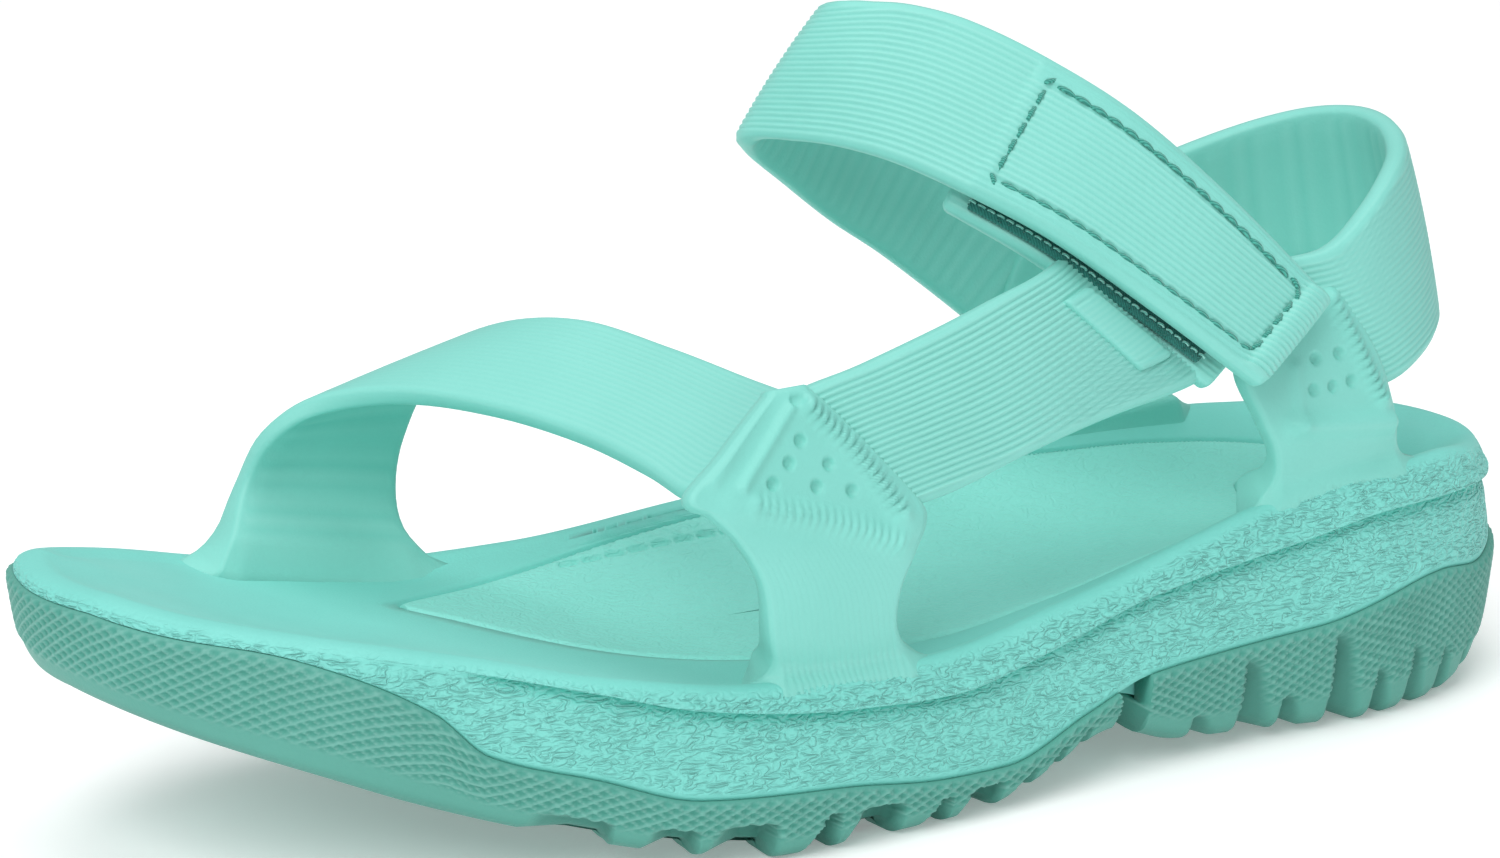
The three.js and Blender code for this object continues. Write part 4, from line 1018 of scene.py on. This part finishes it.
def strap_piece(name, stations, material, t=(0, 1), step=2.0, face_step=0.28, thick=STRAP_THICK, lift=0.0,
                trim=0.0, crown=CROWN, ribs=0.2, sharp=0.45, inner_ribs=0.1, relief=None, rib_gain=None,
                ends=(1.2, 1.2), base=None, extra=None, trees=()):
    """A moulded strap: ribbed outer face, rounded edges with fine lines, cross-ribbed inner face.

    relief and rib_gain take (frames, across, t, half width). base is a surface with the outer, edge and
    inner radii of the fillet towards it. extra lists pairs of t between which the rows are closer."""
    count = max(8, int(len(stations) * 30 * (t[1] - t[0])))
    rough = Strap(stations, np.linspace(t[0], t[1], count))
    total = rough.run[-1]
    rows = max(6, int(total / step))
    where = np.linspace(0, total, rows + 1)
    if extra is not None:
        spots = [np.interp(e, rough.t, rough.run) for e in extra]
        fine = np.concatenate([np.arange(a, b, 0.5) for a, b in zip(spots[::2], spots[1::2])])
        where = np.unique(np.round(np.concatenate([where, fine]), 3))
        where = where[np.concatenate([[True], np.diff(where) > 0.2])]
    frames = Strap(stations, np.interp(where, rough.run, rough.t))
    ts = frames.t[:, None]
    half = (frames.half + EDGE_SPREAD - trim)[:, None]
    depth = (thick(frames.t) if callable(thick) else np.full(len(ts), thick))[:, None]
    radius = np.minimum(EDGE_RADIUS, depth * 0.42)
    flat = half - radius
    faces = int(2 * flat.max() / face_step)
    inner = max(12, int(2 * flat.max() / 1.2))
    s = np.linspace(-1, 1, faces)[None]
    si = np.linspace(1, -1, inner)[None]

    def rise(u):
        return crown * (1 - (u / half) ** 2)
    u_out = s * flat
    raised = relief(frames, u_out, ts, half) if relief else 0.0
    v_out = lift + rise(u_out) + raised
    zeros = np.zeros_like(ts)
    side_u = flat + radius * np.cos(ARC[1:])
    edge_top = lift + rise(flat)
    side_v_top = edge_top - radius + radius * np.sin(ARC[1:])
    low = lift - depth
    side_v_low = low + rise(flat) + radius - radius * np.sin(ARC[::-1][1:])
    side_u_low = flat + radius * np.cos(ARC[::-1][1:])
    u_in = si * flat
    v_in = low + rise(u_in)
    order_u = [u_out, side_u, side_u_low, u_in[:, 1:-1], -side_u_low[:, ::-1], -side_u[:, ::-1]]
    order_v = [v_out, side_v_top, side_v_low, v_in[:, 1:-1], side_v_low[:, ::-1], side_v_top[:, ::-1]]
    u = np.concatenate([p + zeros for p in order_u], axis=1)
    v = np.concatenate([p + zeros for p in order_v], axis=1)
    counts = [p.shape[1] for p in order_u]
    kinds = np.concatenate([np.full(c, k) for k, c in enumerate(counts)])
    grid = (frames.middle[:, None] + frames.across[:, None] * u[..., None]
            + frames.normal[:, None] * v[..., None])
    # notes for the ridges
    line_a, gain = np.zeros_like(u), np.zeros_like(u)
    outer = kinds == 0
    line_a[:, outer] = (u_out + flat) / RIB_PITCH
    strength = rib_gain(frames, u_out, ts, half) if rib_gain else 1.0
    gain[:, outer] = strength * np.ones_like(u_out) * smooth((half - np.abs(u_out)) / 1.2 - 0.4)
    edge_lines = np.linspace(0.2, 3.4, counts[1] + counts[2]) / EDGE_LINE_PITCH
    upper, lower = edge_lines[:counts[1]], edge_lines[counts[1]:]
    for k, part in ((1, upper), (2, lower), (4, lower[::-1]), (5, upper[::-1])):
        line_a[:, kinds == k] = part
        gain[:, kinds == k] = EDGE_LINE_GAIN
    inside = kinds == 3
    line_a[:, inside] = frames.run[:, None] / CROSS_RIB_PITCH
    gain[:, inside] = inner_ribs / max(ribs, 1e-3) * smooth((half - np.abs(u[:, inside])) / 3 - 0.3)
    if base is not None:
        surface, radii = base
        push_r = np.select([kinds == 0, kinds == 3], [radii[0], radii[2]], radii[1]).astype(float)
        du = np.where(np.isin(kinds, (1, 2)), 1.0, np.where(np.isin(kinds, (4, 5)), -1.0, 0.0))[None] + zeros
        dv = np.where(kinds == 0, 1.0, np.where(kinds == 3, -1.0, 0.0))[None] + zeros
        du = du + np.where(dv != 0, (u / half) ** 9, 0)
        way = unit(frames.across[:, None] * du[..., None] + frames.normal[:, None] * dv[..., None])
        lead = np.abs(u / half) ** 3
        foot_run = 0.0 if ends[0] == 0 else frames.run[-1]
        for i in range(grid.shape[0]):
            if grid[i, :, 2].min() > FOOT_TOP:
                continue
            sunk = smooth(1 - abs(frames.run[i] - foot_run) / FOOT_FADE)
            for j in range(grid.shape[1]):
                h, _ = signed_distance(surface, grid[i, j])
                r = mix(push_r[j], radii[1], lead[i, j])
                if -FOOT_REACH < h < r:
                    goal = mix(h, -FOOT_SINK, sunk)
                    above = max(h, 0.0)
                    grid[i, j] += way[i, j] * (r - math.sqrt(max(r * r - (r - above) ** 2, 0.0)))
                    for _ in range(2):
                        off, way_out = signed_distance(surface, grid[i, j])
                        grid[i, j] += way_out * (min(goal, h) - off)
    # rounded ends
    start_rows, end_rows = [], []
    for which, rows_made, forward in ((0, start_rows, -1.0), (-1, end_rows, 1.0)):
        size = ends[0] if which == 0 else ends[1]
        if size <= 0:
            continue
        for angle in (35, 60, 80):
            a = math.radians(angle)
            offset = frames.along[which] * forward * size * math.sin(a)
            shrink_v = size * (1 - math.cos(a)) / (depth[which, 0] / 2)
            shrink_u = size * (1 - math.cos(a)) / half[which, 0]
            middle_v = (v[which].max() + v[which].min()) / 2
            new_u = u[which] * (1 - shrink_u)
            new_v = middle_v + (v[which] - middle_v) * (1 - min(shrink_v, 0.95))
            base_line = (grid[which] - frames.across[which] * u[which][:, None]
                         - frames.normal[which] * v[which][:, None])
            rows_made.append(base_line + frames.across[which] * new_u[:, None]
                             + frames.normal[which] * new_v[:, None] + offset)
    grid_all = np.array(start_rows[::-1] + list(grid) + end_rows)

    def padded(note, share):
        return np.array([note[0] * share] * len(start_rows) + list(note) + [note[-1] * share] * len(end_rows))
    line, gain = padded(line_a, 1.0), padded(gain, 0.3)
    # the crest note places the painted highlight on the rib tops
    notes = {"crest": np.cos(np.pi * line) ** 2 * np.clip(gain, 0, 1), "line_a": line,
             "line_b": np.full(line.shape, 0.5), "line_gain": gain}
    piece = closed_mesh(name, grid_all, grid_faces(len(grid_all), grid_all.shape[1]), notes)
    return worked(piece, (RIDGES, {"Height": ribs, "Sharpness": sharp, "Material": material}), *trees)


def segment_distance(x, z, path):
    """Distance to a bent line and the distance run along it, in the side view."""
    best = np.full(np.shape(x), np.inf)
    run_at = np.zeros(np.shape(x))
    run = 0.0
    for (x0, z0), (x1, z1) in zip(path[:-1], path[1:]):
        length = math.hypot(x1 - x0, z1 - z0)
        t = np.clip(((x - x0) * (x1 - x0) + (z - z0) * (z1 - z0)) / length ** 2, 0, 1)
        d = np.hypot(x - x0 - t * (x1 - x0), z - z0 - t * (z1 - z0))
        closer = d < best
        best = np.where(closer, d, best)
        run_at = np.where(closer, run + t * length, run_at)
        run += length
    return best, run_at


def welt(x, z, path, height, width, rib=0.0, pitch=1.2):
    """A rounded ridge along a bent line, with fine ribs across it where rib is not 0."""
    d, run = segment_distance(x, z, path)
    body = np.exp(-(d / width) ** 2)
    return body * (height + rib * np.cos(2 * np.pi * run / pitch))


def knob(x, z, spot, height, width):
    return height * np.exp(-(np.hypot(x - spot[0], z - spot[1]) / width) ** 2)


def surface_places(frames, u):
    spots = frames.middle[:, None] + frames.across[:, None] * u[..., None]
    return spots[..., 0], spots[..., 2]


def front_relief(frames, u, ts, half):
    x, z = surface_places(frames, u)
    return (welt(x, z, [(-28.6, 74.5), (-33.8, 68.9), (-38.7, 63.9)], 0.9, 1.0)
            + welt(x, z, [(-32.3, 77.1), (-38.5, 70.8), (-43.6, 65.4)], 0.7, 1.3)
            + welt(x, z, [(-25, 74.7), (-22.4, 72), (-18.7, 68.3), (-15.1, 63.4), (-12.4, 59.1), (-10.7, 56)],
                   1.5, 1.7, 0.5, 1.5)
            + welt(x, z, [(-20.4, 74.6), (-14.8, 66.8), (-9.3, 57.8)], 0.6, 1.2)
            + welt(x, z, [(-36.8, 60.7), (-31.5, 58.8), (-25.6, 57.2), (-18.7, 54.7), (-10.8, 51)],
                   1.2, 1.8, 0.22, 1.5)
            + knob(x, z, (-40.2, 62.2), 0.9, 3.0) + knob(x, z, (-8.9, 54.0), 1.3, 3.0)
            + knob(x, z, (-26.8, 76.2), 0.5, 3.5))


def front_ribs(frames, u, ts, half):
    z = surface_places(frames, u)[1]
    return 0.35 * smooth((54.5 - z) / 3) * (0.4 + 0.6 * smooth((34 - z) / 2))


# closure: everything on the ankle strap is placed by its own stations
SPANS = len(ANKLE_STRAP) - 1
PANEL = (11.1 / SPANS, 13.8 / SPANS)
PANEL_MARGIN = 3.2


def panel_limits(frames, half):
    """Run along the strap, where the sewn panel starts and ends on it, and the panel's half width."""
    start, end = np.interp(PANEL, frames.t, frames.run)
    return frames.run[:, None], start, end, half - EDGE_SPREAD - PANEL_MARGIN


def ankle_relief(frames, u, ts, half):
    run, start, end, inner = panel_limits(frames, half)
    last = frames.run[-1]

    def between(blur):
        return smooth((run - start) / blur + 0.5), smooth((end - run) / blur + 0.5)
    after, before = between(0.8)
    inside = smooth((inner - np.abs(u)) / 0.7 + 0.5) * after * before
    border = smooth((run - start + 3.2) / 1.2) * (1 - inside)
    lines = 0.14 * np.cos(2 * np.pi * (half - np.abs(u)) / RIB_PITCH) * smooth((np.abs(u) - inner) / 0.5)
    after, before = between(0.6)
    groove = np.exp(-(((np.abs(u) - inner) / 0.45) ** 2)) * after * before
    cross = np.exp(-((run - start) / 0.45) ** 2) + np.exp(-((run - end) / 0.45) ** 2)
    groove = np.maximum(groove, cross * (np.abs(u) < inner))
    roll = np.clip(1 - ((run - (last - 1.9)) / 2.1) ** 2, 0, 1) ** 0.5
    return 0.45 * border + lines * border + 0.9 * roll - 0.35 * groove


def ankle_ribs(frames, u, ts, half):
    run, start, end, inner = panel_limits(frames, half)
    panel = smooth((inner - 0.6 - np.abs(u)) / 0.5)
    quiet = smooth((run - start + 3.5) / 1.5) * (1 - panel) * smooth((end - run) / 1.0)
    return 1 - 0.85 * quiet


def swollen(start, end):
    return lambda t: STRAP_THICK + 4.2 * smooth((t - start) / (end - start))


def corner_thick(t):
    return swollen(0.68, 1)(t) + 0.5


def dimpled(holder):
    return DIMPLES, {"Marks": holder, "Radius": 1.4, "Depth": 1.0, "Floor": 0.4, "Material": STRAP_FOAM}


def inward(stations, upper, lower):
    """Stations of a narrower or shifted strap: its edges at two shares of the way across."""
    made = []
    for row in stations:
        a, b = np.array(row[:3], float), np.array(row[3:], float)
        made.append(tuple(mix(a, b, upper)) + tuple(mix(a, b, lower)))
    return made


def panel_path(name, stations, box, margin, lift, side=None):
    """Mesh path of a sewn line on the outer face of a strap, with its way up noted."""
    t0, t1 = box
    spots, ups = [], []

    def add(ts, shares):
        frames = Strap(stations, np.asarray(ts, float))
        u = (frames.half - margin) * np.asarray(shares, float)
        v = lift + CROWN * (1 - (u / (frames.half + EDGE_SPREAD)) ** 2)
        spots.extend(frames.middle + frames.across * u[:, None] + frames.normal * v[:, None])
        ups.extend(frames.normal)
    long_way = np.linspace(t0, t1, 40)
    if side is not None:
        add(long_way, np.full(40, side))
    else:
        add(long_way, np.ones(40))
        add(np.full(12, t1), np.linspace(1, -1, 14)[1:-1])
        add(long_way[::-1], -np.ones(40))
        add(np.full(12, t0), np.linspace(-1, 1, 14)[1:-1])
    n = len(spots)
    pairs = [(i, i + 1) for i in range(n - 1)] + ([(n - 1, 0)] if side is None else [])
    holder = marks(name, spots, pairs)
    holder.data.attributes.new("out", "FLOAT_VECTOR", "POINT").data.foreach_set(
        "vector", np.array(ups, np.float32).ravel())
    return holder


def settled(piece, body, slot, *nodes):
    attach(piece, body)
    if nodes:
        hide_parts(*nodes)
    return piece


# ---- build the sole -----------------------------------------------------------------------
sole_grid, sole_notes = outsole_grid()
for name, cut, node in (("forefoot_tread", (36.0, 1), "forefoot_outsole"),
                        ("heel_tread", (43.0, -1), "heel_outsole")):
    settled(outsole(name, sole_grid, sole_notes, cut), "sandal", "outsole_foam", node)
shell = settled(midsole(), "sandal", "midsole_foam", "midsole")
settled(footbed(), "sandal", "footbed_foam", "footbed")

# straps flare where they meet the sole, in the tables' own millimetres
sole_points = np.array([v.co for v in shell.data.vertices]) / MM - CENTRING
SOLE = BVHTree.FromPolygons([Vector(p) for p in sole_points],
                            [tuple(p.vertices) for p in shell.data.polygons])

# ---- build the straps ---------------------------------------------------------------------
settled(strap_piece("toe_band", TOE_STRAP, STRAP_FOAM, thick=swollen(0.25, 0), ribs=0.1, sharp=0.7,
                    inner_ribs=0.5, base=(SOLE, (5.0, 7.0, 5.0)), ends=(0, 1.2),
                    rib_gain=lambda f, u, ts, h: 0.2 + 0.5 * smooth((ts - 0.5) / 0.3)),
        "sandal", "strap_foam", "toe_strap")
dimple_spots = [(-27.3, 69.5), (-30.0, 66.4), (-22.7, 65.3), (-33.1, 63.5), (-25.5, 62.1), (-18.8, 60.6)]


def on_junction(stations, spots, lift):
    """Places on a junction's outer face for points given in the side view."""
    frames = Strap(stations, np.linspace(0, 1, 400))
    made = []
    for x, z in spots:
        u = np.linspace(-1, 1, 81)[None] * frames.half[:, None]
        px, pz = surface_places(frames, u)
        i, j = np.unravel_index(np.argmin(np.hypot(px - x, pz - z)), px.shape)
        rise = lift + CROWN * (1 - (u[i, j] / (frames.half[i] + EDGE_SPREAD)) ** 2)
        made.append(frames.middle[i] + frames.across[i] * u[i, j] + frames.normal[i] * rise)
    return made


JUNCTION_LIFT = 0.35
front_marks = marks("front_marks", on_junction(FRONT_JUNCTION, dimple_spots, JUNCTION_LIFT))
apex_ends = on_junction(FRONT_JUNCTION, [(-27.6, 75.7), (-26.0, 75.7)], JUNCTION_LIFT + 0.6)
apex_mark = marks("apex_mark", apex_ends, [(0, 1)])
settled(strap_piece("front_corner", FRONT_JUNCTION, STRAP_FOAM, t=(0.025, 1), thick=corner_thick,
                    lift=JUNCTION_LIFT, step=0.34, face_step=0.34, ribs=0.3, sharp=0.5, inner_ribs=0.05,
                    relief=front_relief, rib_gain=front_ribs, base=(SOLE, (3.0, 4.5, 3.0)), ends=(0.9, 0),
                    trees=(dimpled(front_marks),
                           (SLOTS, {"Marks": apex_mark, "Radius": 1.2, "Depth": 0.6, "Floor": 0.35,
                                    "Material": STRAP_FOAM}))),
        "sandal", "strap_foam", "front_junction")
settled(strap_piece("mid_band", MID_STRAP, STRAP_FOAM, ribs=0.42, sharp=0.8, inner_ribs=0.3),
        "sandal", "strap_foam", "mid_strap")
settled(strap_piece("blank_tab", inward(MID_STRAP, 0.2, 0.82), STRAP_FOAM, t=(0.785, 0.87), step=0.4,
                    thick=2.6, lift=1.9, crown=0.0, trim=0.6, ribs=0.0, ends=(0.7, 0.7),
                    relief=lambda f, u, ts, h: -0.22 * np.exp(-((h - np.abs(u) - 1.9) / 0.3) ** 2)),
        "sandal", "strap_foam", "tab_plate")

rear_dimples = [(80.6, 67.0), (85.6, 67.2), (79.6, 61.9), (83.8, 62.0), (88.0, 62.4)]
for side, stations, name, node in ((-1, REAR_LATERAL, "rear_corner_lateral", "rear_junction_lateral"),
                                   (1, REAR_MEDIAL, "rear_corner_medial", "rear_junction_medial")):
    # the medial corner sits further forward and higher
    shift, higher = (0.0, 0.0) if side < 0 else (-8.0, 2.0)
    spots = [(x + shift, z + higher) for x, z in rear_dimples]
    holder = marks("rear_marks", on_junction(stations, spots, JUNCTION_LIFT))

    def relief(frames, u, ts, half, shift=shift, higher=higher):
        x, z = surface_places(frames, u)
        x, z = x - shift, z - higher
        return (welt(x, z, [(86.0, 76.0), (87.2, 73.6), (89.3, 69), (91.6, 63.9), (94.6, 58.2)],
                     1.3, 1.7, 0.45, 1.5)
                + welt(x, z, [(75.5, 56.2), (96.0, 54.2)], 1.8, 1.9)
                + welt(x, z, [(76.0, 66.0), (76.6, 56.0)], 0.5, 1.3))
    settled(strap_piece(name, stations, STRAP_FOAM, thick=corner_thick,
                        lift=JUNCTION_LIFT, step=0.36, face_step=0.36, ribs=0.0, inner_ribs=0.0,
                        rib_gain=lambda f, u, ts, h: 0.0, relief=relief,
                        base=(SOLE, (3.5, 5.0, 3.5)), ends=(0.9, 0),
                        trees=(dimpled(holder),)),
            "sandal", "strap_foam", node)
    drop(holder)
drop(front_marks, apex_mark)
settled(strap_piece("heel_band", HEEL_STRAP, STRAP_FOAM, ribs=0.3, sharp=0.8, inner_ribs=0.5),
        "sandal", "strap_foam", "heel_strap")

# ---- closure ------------------------------------------------------------------------------
ankle = strap_piece("ankle_band", ANKLE_STRAP, STRAP_FOAM, step=1.2, ribs=0.32, sharp=0.8, inner_ribs=0.55,
                    relief=ankle_relief, rib_gain=ankle_ribs, ends=(0.9, 1.1),
                    extra=(10.7 / SPANS, 11.3 / SPANS, 13.6 / SPANS, 1.0))
hinge = next(j for j in frame["joints"] if j["name"] == "flap_opening")["pos_m"]
BEND = 0.009
hinge[0]
hinge[1] + BEND
hinge[2]
hinge[0]
hinge[1] - BEND
hinge[2]
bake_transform(ankle)
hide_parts("instep_strap", "closure_flap")

PATCH = (11.0 / SPANS, 13.6 / SPANS)
LOWERED = inward(ANKLE_STRAP, -0.1, 0.9)
settled(strap_piece("fastening_tongue", LOWERED, STRAP_FOAM, t=(10.75 / SPANS, 13.8 / SPANS), lift=-7.1,
                    ribs=0.12, inner_ribs=0.14, ends=(1.2, 0.8)),
        "sandal", "strap_foam", "fastening_strap")


def tape(name, stations, lift, body, node, face_up, height, reach, trim):
    piece = strap_piece(name, stations, TAPE, t=PATCH, thick=1.1, lift=lift, trim=trim, face_step=1.0,
                        ribs=0.0, inner_ribs=0.0, ends=(0.3, 0.3))
    mesh = piece.data
    frames = Strap(stations, np.linspace(PATCH[0], PATCH[1], 30))
    normals = np.array([p.normal for p in mesh.polygons])
    centres = np.array([p.center for p in mesh.polygons]) / MM - CENTRING
    nearest = np.argmin(np.linalg.norm(centres[:, None] - frames.middle[None], axis=2), axis=1)
    facing = np.einsum("ij,ij->i", normals, frames.normal[nearest]) * (1 if face_up else -1)
    note = np.zeros(len(mesh.vertices), np.float32)
    for polygon, value in zip(mesh.polygons, facing):
        if value > 0.9:
            note[list(polygon.vertices)] = 1.0
    mesh.attributes.new("nap", "FLOAT", "POINT").data.foreach_set("value", note)
    worked(piece, (NAP, {"Height": height, "Reach": reach, "Material": TAPE}))
    return settled(piece, body, "fastener_tape", node)


tape("hook_tape", ANKLE_STRAP, -3.9, "flap", "hook_patch", False, 0.5, 0.25, 1.6)
tape("loop_tape", LOWERED, -5.5, "sandal", "loop_patch", True, 0.5, 0.3, 1.4)

sewn = panel_path("flap_stitches", ANKLE_STRAP, PANEL, PANEL_MARGIN, 0.1)
worked(sewn, (STITCHES, {"Spacing": 3.3, "Length": 2.8, "Thread": 0.46, "Material": THREAD}))
settled(sewn, "flap", "thread", "flap_stitching")
dotted = panel_path("tape_stitches", LOWERED, PATCH, 2.2, -5.2, side=-1)
worked(dotted, (STITCHES, {"Spacing": 1.8, "Length": 1.2, "Thread": 0.24, "Material": PALE_THREAD}))
settled(dotted, "sandal", "thread")

# ---- studio -------------------------------------------------------------------------------
ground = bpy.data.meshes.new("floor")
HALF_FLOOR = 6.0
ground.from_pydata([(x * HALF_FLOOR, y * HALF_FLOOR, 0) for x, y in ((-1, -1), (1, -1), (1, 1), (-1, 1))],
                   [], [(0, 1, 2, 3)])
ground.materials.append(PAPER)
floor = bpy.data.objects.new("floor", ground)
bpy.context.scene.collection.objects.link(floor)

AIM = Vector((0.01325, 0.04642, 0.045))
CAMERA_DISTANCE = 0.9
LAMP_AIM = Vector((0, 0, 0.05))
RIGHT, UP, BACK = (0.8704, -0.4924, 0.0), (0.1316, 0.2326, 0.9636), (-0.4745, -0.8387, 0.2672)


def placed(right, up, back, spot):
    turn = Matrix((right, up, back)).transposed().to_4x4()
    turn.translation = spot
    return turn


camera_data = bpy.data.cameras.new("camera")
camera_data.lens = 120.02
camera_data.sensor_width = 36.0
camera = bpy.data.objects.new("camera", camera_data)
camera.matrix_world = placed(RIGHT, UP, BACK, AIM + Vector(BACK) * CAMERA_DISTANCE)
bpy.context.scene.collection.objects.link(camera)
bpy.context.scene.camera = camera


def lamp(name, spot, size, power):
    data = bpy.data.lights.new(name, "AREA")
    data.shape = "SQUARE"
    data.size = size
    data.energy = power
    light = bpy.data.objects.new(name, data)
    light.location = spot
    light.rotation_euler = (LAMP_AIM - Vector(spot)).to_track_quat("-Z", "Y").to_euler()
    bpy.context.scene.collection.objects.link(light)


lamp("key_light", (-1.1, -0.9, 1.4), 1.2, 21.0)
lamp("top_light", (0.1, 0.1, 1.6), 1.4, 12.0)
lamp("fill_light", (0.9, -1.3, 0.7), 1.2, 1.6)
world = bpy.data.worlds.new("studio")
world.use_nodes = True
world.node_tree.nodes.clear()
room = Graph(world.node_tree)
sky = room.add("ShaderNodeBackground", {}, {"Color": (1.0, 1.0, 1.0, 1.0), "Strength": 0.34})["Background"]
room.add("ShaderNodeOutputWorld", {}, {"Surface": sky})
bpy.context.scene.world = world
bpy.context.scene.view_settings.view_transform = "Standard"
